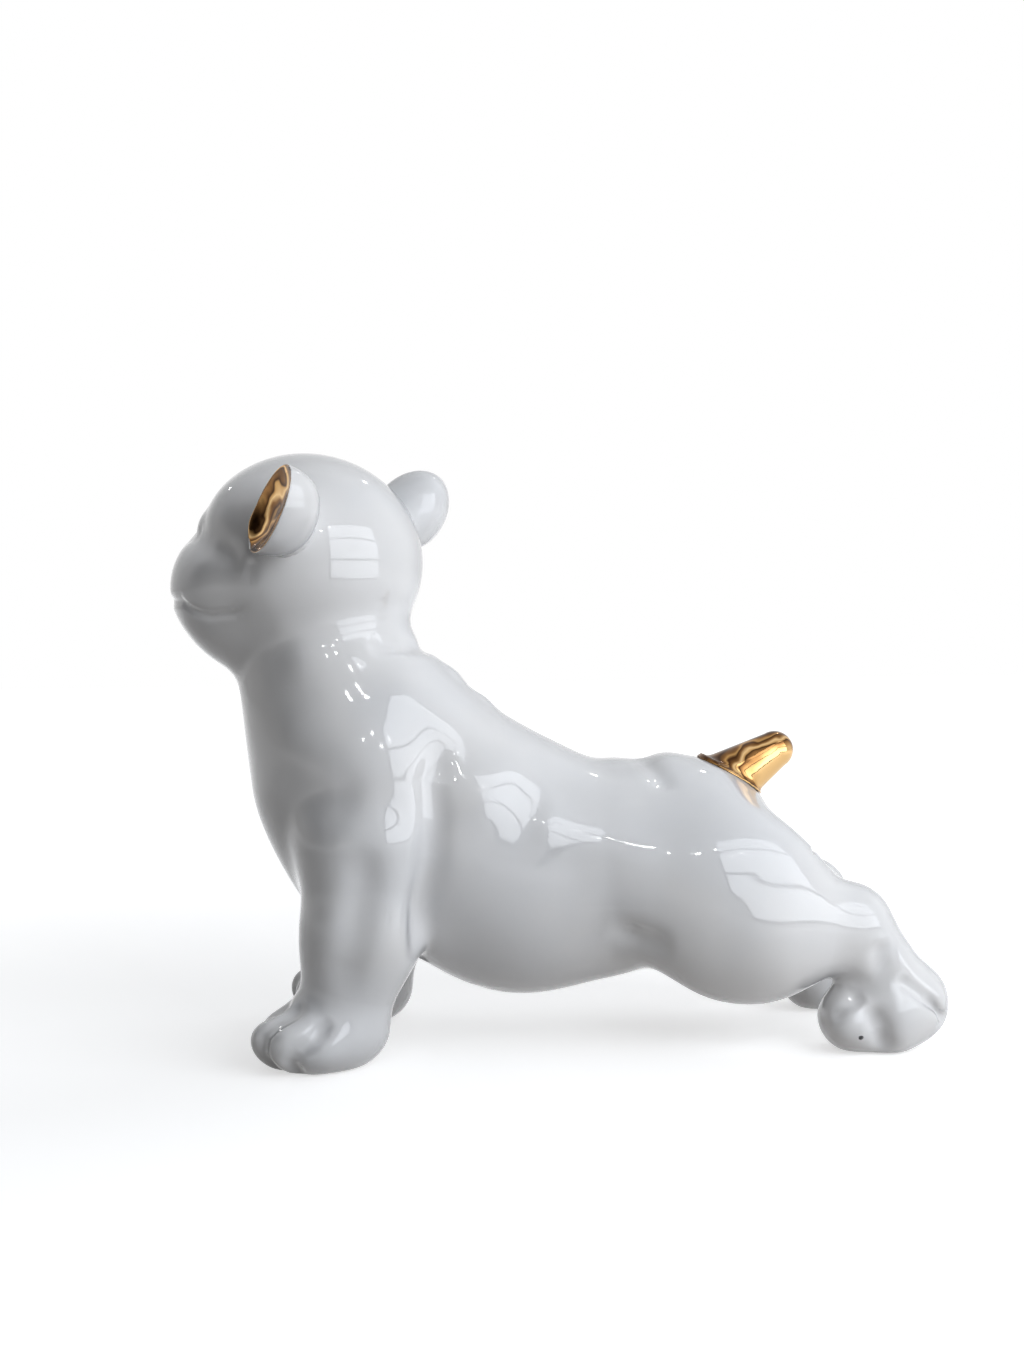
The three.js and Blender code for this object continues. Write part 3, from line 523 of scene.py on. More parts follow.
# Points as close as this to a cut count as on it, and ones as close as this to each other are one
ON_CUT = 1e-5
SAME_POINT = 1e-4


def cut(bm, seam, beyond):
    """Keep what lies beyond a seam, or before it, and close the cut with a flat face."""
    place, look = seam_plane(seam)
    geometry = [*bm.verts, *bm.edges, *bm.faces]
    bmesh.ops.bisect_plane(bm, geom=geometry, dist=ON_CUT, plane_co=place, plane_no=look,
                           clear_inner=beyond, clear_outer=not beyond)
    rim = [edge for edge in bm.edges if edge.is_boundary]
    bmesh.ops.holes_fill(bm, edges=rim, sides=0)


VENT_SIDES = 32


def bored(mesh):
    """The mesh with the pinhole bored into it."""
    bm = bmesh.new()
    middle = Matrix.Translation((VENT["x"], -(VENT["start"] + VENT["end"]) / 2, VENT["z"]))
    sideways = Matrix.Rotation(math.pi / 2, 4, "X")
    bmesh.ops.create_cone(bm, cap_ends=True, segments=VENT_SIDES,
                          radius1=VENT["bore"] / 2, radius2=VENT["bore"] / 2,
                          depth=VENT["start"] - VENT["end"], matrix=middle @ sideways)
    rod_mesh = bpy.data.meshes.new("rod")
    bm.to_mesh(rod_mesh)
    bm.free()
    rod = bpy.data.objects.new("rod", rod_mesh)
    paw = bpy.data.objects.new("paw", mesh)
    for piece in (rod, paw):
        bpy.context.scene.collection.objects.link(piece)
    cutter = paw.modifiers.new("vent", "BOOLEAN")
    cutter.operation, cutter.solver, cutter.object = "DIFFERENCE", "EXACT", rod
    made = bpy.data.meshes.new_from_object(paw.evaluated_get(bpy.context.evaluated_depsgraph_get()))
    for piece in (rod, paw):
        bpy.data.objects.remove(piece)
    return made


# How far under the skin the middle of a face lies before it counts as an inner one
INSIDE = 0.12 * COARSER**2


def casting(name, low, high, cell, before=(), beyond=None, vented=False):
    """A closed casting: the skin in a room, cut at its seams, with the body's own normals."""
    points, faces = skin(low, high, cell)
    bm = bmesh.new()
    verts = [bm.verts.new(point) for point in points]
    for face in faces:
        bm.faces.new([verts[i] for i in face])
    for seam in before:
        cut(bm, seam, beyond=False)
    if beyond:
        cut(bm, beyond, beyond=True)
    bmesh.ops.recalc_face_normals(bm, faces=bm.faces)
    mesh = bpy.data.meshes.new(name)
    bm.to_mesh(mesh)
    bm.free()
    if vented:
        mesh = bored(mesh)
    set_normals(mesh)
    return in_frame(name, mesh, "white_glaze")


def set_normals(mesh):
    """Skin corners take the slope of the body, and corners of flat inner faces stay flat."""
    places = np.zeros(len(mesh.vertices) * 3)
    mesh.vertices.foreach_get("co", places)
    slope = slope_of(standing_distance, places.reshape(-1, 3))
    slope /= np.maximum(np.linalg.norm(slope, axis=1, keepdims=True), TINY)
    centres = np.zeros(len(mesh.polygons) * 3)
    mesh.polygons.foreach_get("center", centres)
    inner = standing_distance(centres.reshape(-1, 3)) < -INSIDE
    normals = np.empty((len(mesh.loops), 3))
    for polygon, flat in zip(mesh.polygons, inner):
        polygon.use_smooth = True
        for loop in polygon.loop_indices:
            normals[loop] = polygon.normal if flat else slope[mesh.loops[loop].vertex_index]
    mesh.normals_split_custom_set(normals.tolist())


def in_frame(name, mesh, slot):
    """A mesh of the design frame, moved to the part's own in metres, on its body and in its slot."""
    mesh.transform(Matrix.Scale(METRE, 4) @ Matrix.Translation(-Vector(FRAME_MIDDLE)))
    piece = bpy.data.objects.new(name, mesh)
    bpy.context.scene.collection.objects.link(piece)
    mesh.materials.append(FINISHES[slot])
    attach(piece, "root")
    return piece


# Finishes

RANGE_SOCKETS = ("From Min", "From Max", "To Min", "To Max")


class Nodes:
    """A material's node tree, with short calls to add and join nodes."""

    def __init__(self, tree):
        self.tree = tree
        tree.nodes.clear()

    def add(self, kind, **settings):
        node = self.tree.nodes.new("ShaderNode" + kind)
        for key, value in settings.items():
            setattr(node, key, value)
        return node

    def join(self, source, target):
        self.tree.links.new(source, target)

    def noise(self, place, scale, detail):
        node = self.add("TexNoise")
        node.inputs["Scale"].default_value = scale
        node.inputs["Detail"].default_value = detail
        self.join(place, node.inputs["Vector"])
        return node.outputs["Fac"]

    def ramp(self, source, low, high, to_low, to_high, kind="SMOOTHSTEP"):
        node = self.add("MapRange", interpolation_type=kind)
        self.join(source, node.inputs["Value"])
        for key, value in zip(RANGE_SOCKETS, (low, high, to_low, to_high)):
            node.inputs[key].default_value = value
        return node.outputs["Result"]

    def mix(self, share, one, other):
        node = self.add("Mix", data_type="RGBA")
        self.join(share, node.inputs["Factor"])
        colours = [socket for socket in node.inputs if socket.type == "RGBA"]
        for socket, value in zip(colours, (one, other)):
            if isinstance(value, tuple):
                socket.default_value = (*value, 1)
            else:
                self.join(value, socket)
        return [socket for socket in node.outputs if socket.type == "RGBA"][0]

    def bump(self, height, distance, strength, under=None):
        node = self.add("Bump")
        node.inputs["Strength"].default_value = strength
        node.inputs["Distance"].default_value = distance
        self.join(height, node.inputs["Height"])
        if under is not None:
            self.join(under, node.inputs["Normal"])
        return node.outputs["Normal"]


def new_material(name):
    material = bpy.data.materials.new(name)
    material.use_nodes = True
    return material, Nodes(material.node_tree)


def new_finish(name):
    """A material with one glossy shader, and the place on its piece that patterns follow."""
    material, nodes = new_material(name)
    place = nodes.add("TexCoord").outputs["Object"]
    shader = nodes.add("BsdfPrincipled")
    nodes.join(shader.outputs["BSDF"], nodes.add("OutputMaterial").inputs["Surface"])
    return material, nodes, place, shader


# Glazed porcelain: its two cloudy whites, the painted shade in the grooves, where the glaze also pools,
# and the painted shade where the skin turns away from the viewer
CLOUDS = ((0.83, 0.84, 0.86), (0.88, 0.88, 0.885))
POOLED_GLAZE_AND_SHADE = (0.76, 0.765, 0.775)
TURNED_AWAY_SHADE = (0.42, 0.43, 0.46)
GLAZE_ROUGHNESS = (0.05, 0.11)

# Patterns: waves to the metre, and levels of detail
CLOUD_NOISE = (22, 3)
GLOSS_NOISE = (60, 4)
WAVE_NOISE = (70, 1)
PEEL_NOISE = (900, 1)

# Bumps: height in metres, and strength
WAVE_BUMP = (0.0006, 0.22)
PEEL_BUMP = (0.00004, 0.15)


def finish_glaze():
    """Clear glaze over white porcelain, a touch greyer with painted shade in the grooves, where the
    glaze also pools, and darker with painted shade where the skin turns away from the viewer.
    """
    material, nodes, place, shader = new_finish("white_glaze")
    body = nodes.mix(nodes.ramp(nodes.noise(place, *CLOUD_NOISE), 0.35, 0.65, 0, 1), *CLOUDS)
    # Painted shade: greyer in the grooves, where the skin curves inwards, as well as where the glaze
    # pools
    pooled_and_shaded = nodes.ramp(nodes.add("NewGeometry").outputs["Pointiness"], 0.42, 0.5, 1, 0)
    # Painted shade: the base colour turns dark grey where the skin turns away from the viewer
    edge = nodes.ramp(nodes.add("LayerWeight").outputs["Facing"], 0.45, 1.0, 0, 1)
    toned = nodes.mix(pooled_and_shaded, body, POOLED_GLAZE_AND_SHADE)
    nodes.join(nodes.mix(edge, toned, TURNED_AWAY_SHADE), shader.inputs["Base Color"])
    gloss = nodes.ramp(nodes.noise(place, *GLOSS_NOISE), 0.3, 0.7, *GLAZE_ROUGHNESS)
    nodes.join(gloss, shader.inputs["Roughness"])
    shader.inputs["IOR"].default_value = 1.5
    shader.inputs["Coat Weight"].default_value = 0.5
    shader.inputs["Coat Roughness"].default_value = 0.02
    waves = nodes.bump(nodes.noise(place, *WAVE_NOISE), *WAVE_BUMP)
    nodes.join(nodes.bump(nodes.noise(place, *PEEL_NOISE), *PEEL_BUMP, waves), shader.inputs["Normal"])
    return material


# Bands of painted reflection on the gold, from dark brown to pale gold, and the way that the last of
# them faces
GOLD_REFLECTION_BANDS = [
    (0.00, (0.16, 0.075, 0.024)), (0.14, (0.040, 0.017, 0.007)), (0.26, (0.20, 0.095, 0.030)),
    (0.33, (0.46, 0.260, 0.095)), (0.38, (0.050, 0.020, 0.008)), (0.47, (0.22, 0.105, 0.034)),
    (0.56, (0.78, 0.520, 0.250)), (0.63, (0.50, 0.290, 0.110)), (0.67, (0.045, 0.018, 0.007)),
    (0.78, (0.30, 0.150, 0.052)), (0.90, (0.52, 0.300, 0.115)), (1.00, (0.70, 0.450, 0.200)),
]
REFLECTION_FACING = (0.25, -0.60, -0.76)
GOLD_ROUGHNESS = (0.05, 0.1)
GOLD_WANDER = 0.26
WANDER_NOISE = (95, 2)
GRAIN_NOISE = (400, 3)
DENT_NOISE = (160, 2)
DENT_BUMP = (0.0008, 0.3)


def finish_gold():
    """Bright fired gold lustre, coloured with painted reflections: bands from dark brown to pale gold by
    the way its mirror faces.
    """
    material, nodes, place, shader = new_finish("gold_lustre")
    facing = nodes.add("VectorMath", operation="DOT_PRODUCT")
    nodes.join(nodes.add("NewGeometry").outputs["Normal"], facing.inputs[0])
    facing.inputs[1].default_value = REFLECTION_FACING
    turned = nodes.ramp(facing.outputs["Value"], -1, 1, -0.15, 1.15, "LINEAR")
    wander = nodes.noise(place, *WANDER_NOISE)
    warped = nodes.add("Math", operation="ADD")
    nodes.join(turned, warped.inputs[0])
    nodes.join(nodes.ramp(wander, 0.25, 0.75, -GOLD_WANDER, GOLD_WANDER, "LINEAR"), warped.inputs[1])
    # Painted reflection: the gold's colour runs from dark brown to pale gold with the way its surface
    # faces, shifted by noise
    painted_reflections = nodes.add("ValToRGB")
    stops = painted_reflections.color_ramp.elements
    stops[0].color = (*GOLD_REFLECTION_BANDS[0][1], 1)
    stops[1].color = (*GOLD_REFLECTION_BANDS[-1][1], 1)
    for spot, colour in GOLD_REFLECTION_BANDS[1:-1]:
        stops.new(spot).color = (*colour, 1)
    nodes.join(warped.outputs[0], painted_reflections.inputs["Fac"])
    nodes.join(painted_reflections.outputs["Color"], shader.inputs["Base Color"])
    grain = nodes.ramp(nodes.noise(place, *GRAIN_NOISE), 0.3, 0.7, *GOLD_ROUGHNESS)
    nodes.join(grain, shader.inputs["Roughness"])
    shader.inputs["Metallic"].default_value = 1.0
    nodes.join(nodes.bump(nodes.noise(place, *DENT_NOISE), *DENT_BUMP), shader.inputs["Normal"])
    return material


FINISHES = {"white_glaze": finish_glaze(), "gold_lustre": finish_gold()}


# Castings

# The cell of the grid that a skin is found in
TORSO_CELL = 1.2 * COARSER
HEAD_CELL = 0.8 * COARSER
LEG_CELL = 0.8 * COARSER

# How far the room of a casting reaches past its volumes and its seams, and past the middle of a leg
MARGIN = 3.0
PAST_NECK_SEAM = 12.0
PAST_FORELEG_SEAM = dict(torso=12.0, leg=15.0)
PAST_HIND_SEAM = dict(torso=21.0, leg=18.0)
FORELEG_OUTER = 24.0
HIND_LEG_OUTER = 27.0


def room_round(volumes):
    return (np.min([volume.low for volume in volumes], axis=0) - MARGIN,
            np.max([volume.high for volume in volumes], axis=0) + MARGIN)


def side_room(side, low, high, inner, outer):
    low[1], high[1] = sorted((side * inner, side * outer))
    low[2] = -MARGIN
    return low, high


def make_castings():
    low, high = room_round([*trunk_volumes(), *foreleg_volumes(LEFT)[:2], *foreleg_volumes(RIGHT)[:2],
                            hind_leg_volumes(LEFT)[0], hind_leg_volumes(RIGHT)[0]])
    low[2] = FORELEG_SEAM["z"] - PAST_FORELEG_SEAM["torso"]
    high[0] = HIND_SEAM["x"] + PAST_HIND_SEAM["torso"]
    high[2] = NECK_SEAM["z"] + PAST_NECK_SEAM
    torso = casting("torso_glazed", low, high, TORSO_CELL, before=(NECK_SEAM, FORELEG_SEAM, HIND_SEAM))
    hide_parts("torso_casting")
    low, high = room_round(head_volumes())
    low[2] = NECK_SEAM["z"] - PAST_NECK_SEAM
    head = casting("head_glazed", low, high, HEAD_CELL, beyond=NECK_SEAM)
    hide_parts("head_casting")
    for side in (LEFT, RIGHT):
        name = SIDE_NAMES[side]
        low, high = room_round(foreleg_volumes(side)[2:])
        high[2] = FORELEG_SEAM["z"] + PAST_FORELEG_SEAM["leg"]
        inner = FORELEG_SPREAD - ELBOW["radius"] - MARGIN
        room = side_room(side, low, high, inner, FORELEG_SPREAD + FORELEG_OUTER)
        leg = casting(name + "_foreleg_glazed", *room, LEG_CELL, beyond=FORELEG_SEAM)
        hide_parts(name + "_foreleg")
        low, high = room_round(hind_leg_volumes(side)[1:])
        low[0] = HIND_SEAM["x"] - PAST_HIND_SEAM["leg"]
        room = side_room(side, low, high, TINY, HIND_SPREAD + HIND_LEG_OUTER)
        leg = casting(name + "_hind_leg_glazed", *room, LEG_CELL, beyond=HIND_SEAM, vented=side == LEFT)
        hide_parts(name + "_hind_leg")


make_castings()


# Ears


def ear_frame(side):
    """The ear's root, and its axes as rows: across the lobe, out of its hollow face and up it."""
    out = -side
    back, lean, face = (math.radians(EAR[key]) for key in ("back", "lean", "face"))
    up = unit(head_way(-math.tan(back), out * math.tan(lean), 1))
    across = unit(np.cross(head_way(math.cos(face), out * math.sin(face), 0), up))
    root = on_head(-EAR["behind"], out * EAR["out"], EAR["up"])
    return root, np.array([across, np.cross(up, across), up])


# At what share of its height the lobe is widest, and how full its back is towards its ends
WIDEST = 0.45
FULLNESS = 0.8


def lobe_share(height):
    """How wide the egg-shaped lobe is, as a share of its widest."""
    t = height / LOBE["height"]
    span = 1 - WIDEST if t > WIDEST else WIDEST
    return math.sqrt(max(1 - ((t - WIDEST) / span) ** 2, 0))


def lobe_point(height, u, turn):
    """A point of the section, on the hollow face where turn is 1 and on the full back where it is -1."""
    share = lobe_share(height)
    bulge = math.sqrt(max(1 - u * u, 0))
    if turn > 0:
        y = LOBE["rim"] * math.sqrt(share) * bulge - LOBE["cup"] * share * bulge**2
    else:
        y = -LOBE["back"] * share**FULLNESS * bulge
    return (u * share * LOBE["width"] / 2, y, height)


# Points over a face of the lobe, and rings up it, from one share of its height to another
ACROSS = 32
UP = 40
EAR_ENDS = (0.001, 0.999)
EAR_GOLD_ENDS = (0.02, 0.98)

# The gold of the ear: its share of the width, how far it stands out, and how thick it is
GOLD_EDGE = 0.97
GOLD_PROUD = 0.06
GOLD_COAT = 0.25


def lobe_heights(start, end):
    """Heights from one share of the lobe to another, closer together towards both ends."""
    spread = [(1 - math.cos(math.pi * i / (UP - 1))) / 2 for i in range(UP)]
    return [LOBE["height"] * (start + (end - start) * t) for t in spread]


def loft(name, rings, slot, closed=False):
    """A smooth body through rings of equal count, with a fan over each end, or back to its start."""
    rings = np.asarray(rings, float)
    size = rings.shape[1]
    points = rings.reshape(-1, 3).tolist()
    faces = []
    for ring in range(len(rings) - (0 if closed else 1)):
        here, there = ring * size, (ring + 1) % len(rings) * size
        for i in range(size):
            j = (i + 1) % size
            faces.append((here + i, here + j, there + j, there + i))
    if not closed:
        for ring, back in ((0, True), (len(rings) - 1, False)):
            points.append(rings[ring].mean(0).tolist())
            for i in range(size):
                pair = (ring * size + i, ring * size + (i + 1) % size)
                faces.append((*(pair[::-1] if back else pair), len(points) - 1))
    bm = bmesh.new()
    verts = [bm.verts.new(point) for point in points]
    for face in faces:
        bm.faces.new([verts[i] for i in face])
    bmesh.ops.remove_doubles(bm, verts=bm.verts, dist=SAME_POINT)
    bmesh.ops.recalc_face_normals(bm, faces=bm.faces)
    mesh = bpy.data.meshes.new(name)
    bm.to_mesh(mesh)
    bm.free()
    mesh.shade_smooth()
    return in_frame(name, mesh, slot)


def placed(rings, place, axes):
    return [[place + np.asarray(point) @ axes for point in ring] for ring in rings]


# Radius of the fillet at the root of an ear or of the tail's gold
FILLET = 2.0


def flared(rings):
    """Rings pushed out into a fillet where they come near the body."""
    rings = np.asarray(rings, float)
    flat = rings.reshape(-1, 3)
    near = np.clip(FILLET - body_distance(flat), 0, FILLET).reshape(rings.shape[:2])
    push = FILLET - np.sqrt(FILLET**2 - near**2)
    outward = rings - rings.mean(1, keepdims=True)
    outward /= np.maximum(np.linalg.norm(outward, axis=2, keepdims=True), TINY)
    return rings + push[:, :, None] * outward


def lobe_rings(side, start, end, edge=1.0):
    """Rings round a lobe, over its hollow face and then its full back, with a fillet at its root."""
    place, axes = ear_frame(side)
    turns = [math.cos(math.pi * i / ACROSS) for i in range(ACROSS)]
    rings = []
    for height in lobe_heights(start, end):
        front = [lobe_point(height, edge * u, 1) for u in turns]
        back = [lobe_point(height, -u, -1) for u in turns]
        rings.append(front + back)
    return flared(placed(rings, place, axes))


def over_body(points, clear):
    """Points that lie under the body's skin, or too close to it, lifted clear of it."""
    flat = points.reshape(-1, 3)
    slope = slope_of(body_distance, flat)
    slope /= np.maximum(np.linalg.norm(slope, axis=1, keepdims=True), TINY)
    lift = np.maximum(clear - body_distance(flat), 0)
    return (flat + lift[:, None] * slope).reshape(points.shape)


def make_ears():
    for side in (LEFT, RIGHT):
        name = SIDE_NAMES[side]
        ear = loft(name + "_ear_glazed", lobe_rings(side, *EAR_ENDS), "white_glaze")
        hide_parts(name + "_ear")
        face = lobe_rings(side, *EAR_GOLD_ENDS, GOLD_EDGE)[:, :ACROSS]
        out = ear_frame(side)[1][1]
        front = over_body(face + GOLD_PROUD * out, GOLD_COAT)
        back = over_body(face - GOLD_COAT * out, 0)[:, ::-1]
        gold = loft(name + "_ear_lustre", np.concatenate([front, back], axis=1), "gold_lustre")
        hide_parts(name + "_ear_gold")


make_ears()


# Tail

TAIL_SIDES = 64
TAIL_RINGS = 48

# The shares of the tail that are its straight cone and its round tip
CONE_SHARE = 0.7
TIP_SHARE = 0.3

# Where the gold's rings start, as a share of how deep the tail is sunk, and how far off the skin it ends
GOLD_START = -0.4
GOLD_CLEAR = 0.25


def tail_axes():
    rise = math.radians(TAIL["rise"])
    along = np.array([math.cos(rise), 0, math.sin(rise)])
    return axes_from(along, (0, 1, 0))


def tail_profile(share, swelled):
    """Height along the tail and radius, from its root at share 0 to the top of its tip at 1."""
    straight = TAIL["length"] - TAIL["tip_radius"]
    tip = TAIL["tip_radius"] + swelled
    if share < CONE_SHARE:
        part = share / CONE_SHARE
        return straight * part, TAIL["radius"] + swelled + (TAIL["tip_radius"] - TAIL["radius"]) * part
    turn = (share - CONE_SHARE) / TIP_SHARE * math.pi / 2
    return straight + tip * math.sin(turn), tip * math.cos(turn)


def tail_rings(start, swelled):
    """Rings round the tail up to its tip, from a share below zero where it is sunk in the body."""
    axes = tail_axes()
    place = np.array([TAIL["x"], 0, TAIL["z"]], float)
    rings = []
    for i in range(TAIL_RINGS):
        share = start + (1 - start) * i / (TAIL_RINGS - 1)
        height, radius = tail_profile(max(share, 0), swelled)
        height += min(share, 0) * TAIL["sunk"]
        ring = []
        for j in range(TAIL_SIDES):
            turn = 2 * math.pi * j / TAIL_SIDES
            spot = np.array([height, radius * math.cos(turn), radius * math.sin(turn)])
            ring.append(place + spot @ axes)
        rings.append(ring)
    return rings


def make_tail():
    """The tail's core, and its gold, which ends just off the skin all the way round."""
    core = loft("tail_glazed", tail_rings(-1.0, 0.0), "white_glaze")
    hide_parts("tail_core")
    outside = flared(tail_rings(GOLD_START, GOLD_COAT))
    inside = flared(tail_rings(GOLD_START, -GOLD_COAT))
    clear = body_distance(outside.reshape(-1, 3)).reshape(outside.shape[:2])
    rows = np.arange(TAIL_RINGS)
    starts = [int(np.argmax(clear[:, j] > GOLD_CLEAR)) for j in range(TAIL_SIDES)]
    for rings in (outside, inside):
        for j, first in enumerate(starts):
            here, before = clear[first, j], clear[first - 1, j]
            exact = first - (here - GOLD_CLEAR) / (here - before)
            spots = exact + (TAIL_RINGS - 1 - exact) * rows / (TAIL_RINGS - 1)
            rings[:, j] = np.stack([np.interp(spots, rows, rings[:, j, k]) for k in range(3)], -1)
    gold = loft("tail_lustre", [*outside, *inside[::-1]], "gold_lustre", closed=True)
    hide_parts("tail_gold")


make_tail()


# Stage: floor, world, lights, screen and camera

FLOOR_SIDE = 5.0
DAYLIGHT = (0.93, 0.96, 1.0)
WHITE = (1.0, 1.0, 1.0)
WORLD_LEVEL = 0.19
CENTRE_HEIGHT = 0.09


def seen_rays(nodes):
    """1 for rays from the camera, a mirror or glass, which see the pale background, otherwise 0."""
    rays = nodes.add("LightPath")
    kinds = [rays.outputs[name] for name in ("Is Camera Ray", "Is Glossy Ray", "Is Transmission Ray")]
    for kind in kinds[1:]:
        either = nodes.add("Math", operation="MAXIMUM")
        nodes.join(kinds[0], either.inputs[0])
        nodes.join(kind, either.inputs[1])
        kinds[0] = either.outputs[0]
    return kinds[0]


def either_shader(nodes, share, plain, shown, target):
    node = nodes.add("MixShader")
    for socket, source in zip(node.inputs, (share, plain, shown)):
        nodes.join(source, socket)
    nodes.join(node.outputs[0], target)


# How much the floor glows of itself: less near the puppy, where its shadow falls, than far away
FLOOR_GLOW = dict(near=0.12, far=0.75, low=0.56, high=1.0)

# Where the floor throws back little light, left of the puppy, so that its throat and jaw stay dim
DARK_SPOT = dict(place=(-0.34, -0.13, 0), inner=0.14, outer=0.46)

# The floor's colours: what it throws back there and elsewhere, and what shows
THROWN_BACK = ((0.05, 0.036, 0.024), (0.46, 0.43, 0.40))
SHOWN = (0.9, 0.9, 0.9)


def make_floor():
    material, nodes = new_material("floor")
    place = nodes.add("TexCoord").outputs["Object"]
    bounced = nodes.add("BsdfDiffuse")
    shaded = nodes.add("VectorMath", operation="DISTANCE")
    nodes.join(place, shaded.inputs[0])
    shaded.inputs[1].default_value = DARK_SPOT["place"]
    share = nodes.ramp(shaded.outputs["Value"], DARK_SPOT["inner"], DARK_SPOT["outer"], 0, 1)
    nodes.join(nodes.mix(share, *THROWN_BACK), bounced.inputs["Color"])
    shown = nodes.add("BsdfDiffuse")
    shown.inputs["Color"].default_value = (*SHOWN, 1)
    glow = nodes.add("Emission")
    far = nodes.add("VectorMath", operation="LENGTH")
    nodes.join(place, far.inputs[0])
    reach = [FLOOR_GLOW[key] for key in ("near", "far", "low", "high")]
    nodes.join(nodes.ramp(far.outputs["Value"], *reach), glow.inputs["Strength"])
    bright = nodes.add("AddShader")
    nodes.join(shown.outputs[0], bright.inputs[0])
    nodes.join(glow.outputs[0], bright.inputs[1])
    output = nodes.add("OutputMaterial")
    seen = seen_rays(nodes)
    either_shader(nodes, seen, bounced.outputs[0], bright.outputs[0], output.inputs["Surface"])
    panel("floor", material, FLOOR_SIDE, FLOOR_SIDE)


def panel(name, material, wide, high):
    """A flat card round its own middle, looking along its own Z."""
    mesh = bpy.data.meshes.new(name)
    x, y = wide / 2, high / 2
    mesh.from_pydata([(-x, -y, 0), (x, -y, 0), (x, y, 0), (-x, y, 0)], [], [(0, 1, 2, 3)])
    mesh.materials.append(material)
    card = bpy.data.objects.new(name, mesh)
    bpy.context.scene.collection.objects.link(card)
    return card


def make_world():
    world = bpy.data.worlds.new("studio")
    world.use_nodes = True
    bpy.context.scene.world = world
    nodes = Nodes(world.node_tree)
    dim = nodes.add("Background")
    dim.inputs["Color"].default_value = (*DAYLIGHT, 1)
    dim.inputs["Strength"].default_value = WORLD_LEVEL
    white = nodes.add("Background")
    white.inputs["Color"].default_value = (*WHITE, 1)
    output = nodes.add("OutputWorld")
    either_shader(nodes, seen_rays(nodes), dim.outputs[0], white.outputs[0], output.inputs["Surface"])


def aimed(place, target):
    """A matrix at a place, looking at a target, upright."""
    look = (Vector(target) - Vector(place)).normalized()
    return Matrix.Translation(place) @ look.to_track_quat("-Z", "Y").to_matrix().to_4x4()


def area_light(name, place, target, width, height, radiance, colour, lights=True, mirrored=True):
    light = bpy.data.lights.new(name, "AREA")
    light.shape = "RECTANGLE"
    light.size, light.size_y = width, height
    light.energy = radiance * math.pi * width * height
    light.color = colour
    lamp = bpy.data.objects.new(name, light)
    lamp.matrix_world = aimed(place, target)
    lamp.visible_camera = False
    lamp.visible_diffuse = lights
    lamp.visible_glossy = mirrored
    bpy.context.scene.collection.objects.link(lamp)


# Cards of daylight stand upright: degrees towards +X from the camera's side, how far off, and how far
# along. Each row of one is its foot above the ground, its height and its level.

# The window close by, which the glaze mirrors, in its dark frame
WINDOW = dict(turn=33, away=0.268, along=0.054, wide=0.33,
              rows=[(0.055, 0.10, 3.4), (0.165, 0.112, 3.4), (0.287, 0.10, 3.4)])
FRAME_WIDE = 0.012
FRAME_BEHIND = 0.003
FRAME_SHADE = (0.02, 0.02, 0.02)

# Soft light from the same side, from behind and from above, which the glaze doesn't mirror
DAY_LIGHT = dict(turn=47, away=0.62, along=0, wide=0.64,
                 rows=[(0.015, 0.08, 3.4), (0.11, 0.12, 2.0), (0.25, 0.16, 3.5), (0.43, 0.17, 3.6)])
BACK_LIGHT = dict(turn=125, away=0.75, along=0, wide=0.6, rows=[(0.34, 0.55, 1.5)])
TOP_LIGHT = dict(place=(0.1, 0.35, 1.25), wide=1.3, high=1.1, level=0.45)

# Small ceiling lamps, seen as sparkles: degrees round from the camera's side, and above the ground
SPARKS = [(-9, 38), (3, 43), (13, 36), (24, 40), (-130, 38), (150, 48)]
SPARK_AWAY = 1.4
SPARK_SIZE = 0.045
SPARK_LEVEL = 32


def upright_place(card, foot, high, behind=0.0):
    """The middle of an upright card's row, and the point that it faces."""
    turn = math.radians(card["turn"])
    away = Vector((math.sin(turn), -math.cos(turn), 0))
    across = Vector((math.cos(turn), math.sin(turn), 0))
    place = away * (card["away"] + behind) + across * card["along"] + Vector((0, 0, foot + high / 2))
    return place, place - away


def upright_light(name, card, **seen):
    for number, (foot, high, level) in enumerate(card["rows"]):
        place, target = upright_place(card, foot, high)
        area_light(f"{name}_{number}", place, target, card["wide"], high, level, DAYLIGHT, **seen)


def make_window_frame():
    """A dark card just behind the window, seen in the glaze as its frame and bars."""
    material, nodes = new_material("window_frame")
    shade = nodes.add("BsdfDiffuse")
    shade.inputs["Color"].default_value = (*FRAME_SHADE, 1)
    nodes.join(shade.outputs[0], nodes.add("OutputMaterial").inputs["Surface"])
    foot = WINDOW["rows"][0][0] - FRAME_WIDE
    high = WINDOW["rows"][-1][0] + WINDOW["rows"][-1][1] + FRAME_WIDE - foot
    card = panel("window_frame", material, WINDOW["wide"] + 2 * FRAME_WIDE, high)
    card.matrix_world = aimed(*upright_place(WINDOW, foot, high, FRAME_BEHIND))
    for kind in ("camera", "diffuse", "transmission", "shadow"):
        setattr(card, "visible_" + kind, False)


def make_lights():
    upright_light("pane", WINDOW, lights=False)
    upright_light("day_light", DAY_LIGHT, mirrored=False)
    upright_light("back_light", BACK_LIGHT, mirrored=False)
    middle = Vector((0, 0, CENTRE_HEIGHT))
    area_light("top_light", TOP_LIGHT["place"], middle, TOP_LIGHT["wide"], TOP_LIGHT["high"],
               TOP_LIGHT["level"], DAYLIGHT, mirrored=False)
    for number, (turn, rise) in enumerate(SPARKS):
        turn, rise = math.radians(turn), math.radians(rise)
        way = Vector((math.sin(turn) * math.cos(rise), -math.cos(turn) * math.cos(rise), math.sin(rise)))
        area_light(f"spark_{number}", middle + SPARK_AWAY * way, middle, SPARK_SIZE, SPARK_SIZE,
                   SPARK_LEVEL, WHITE)


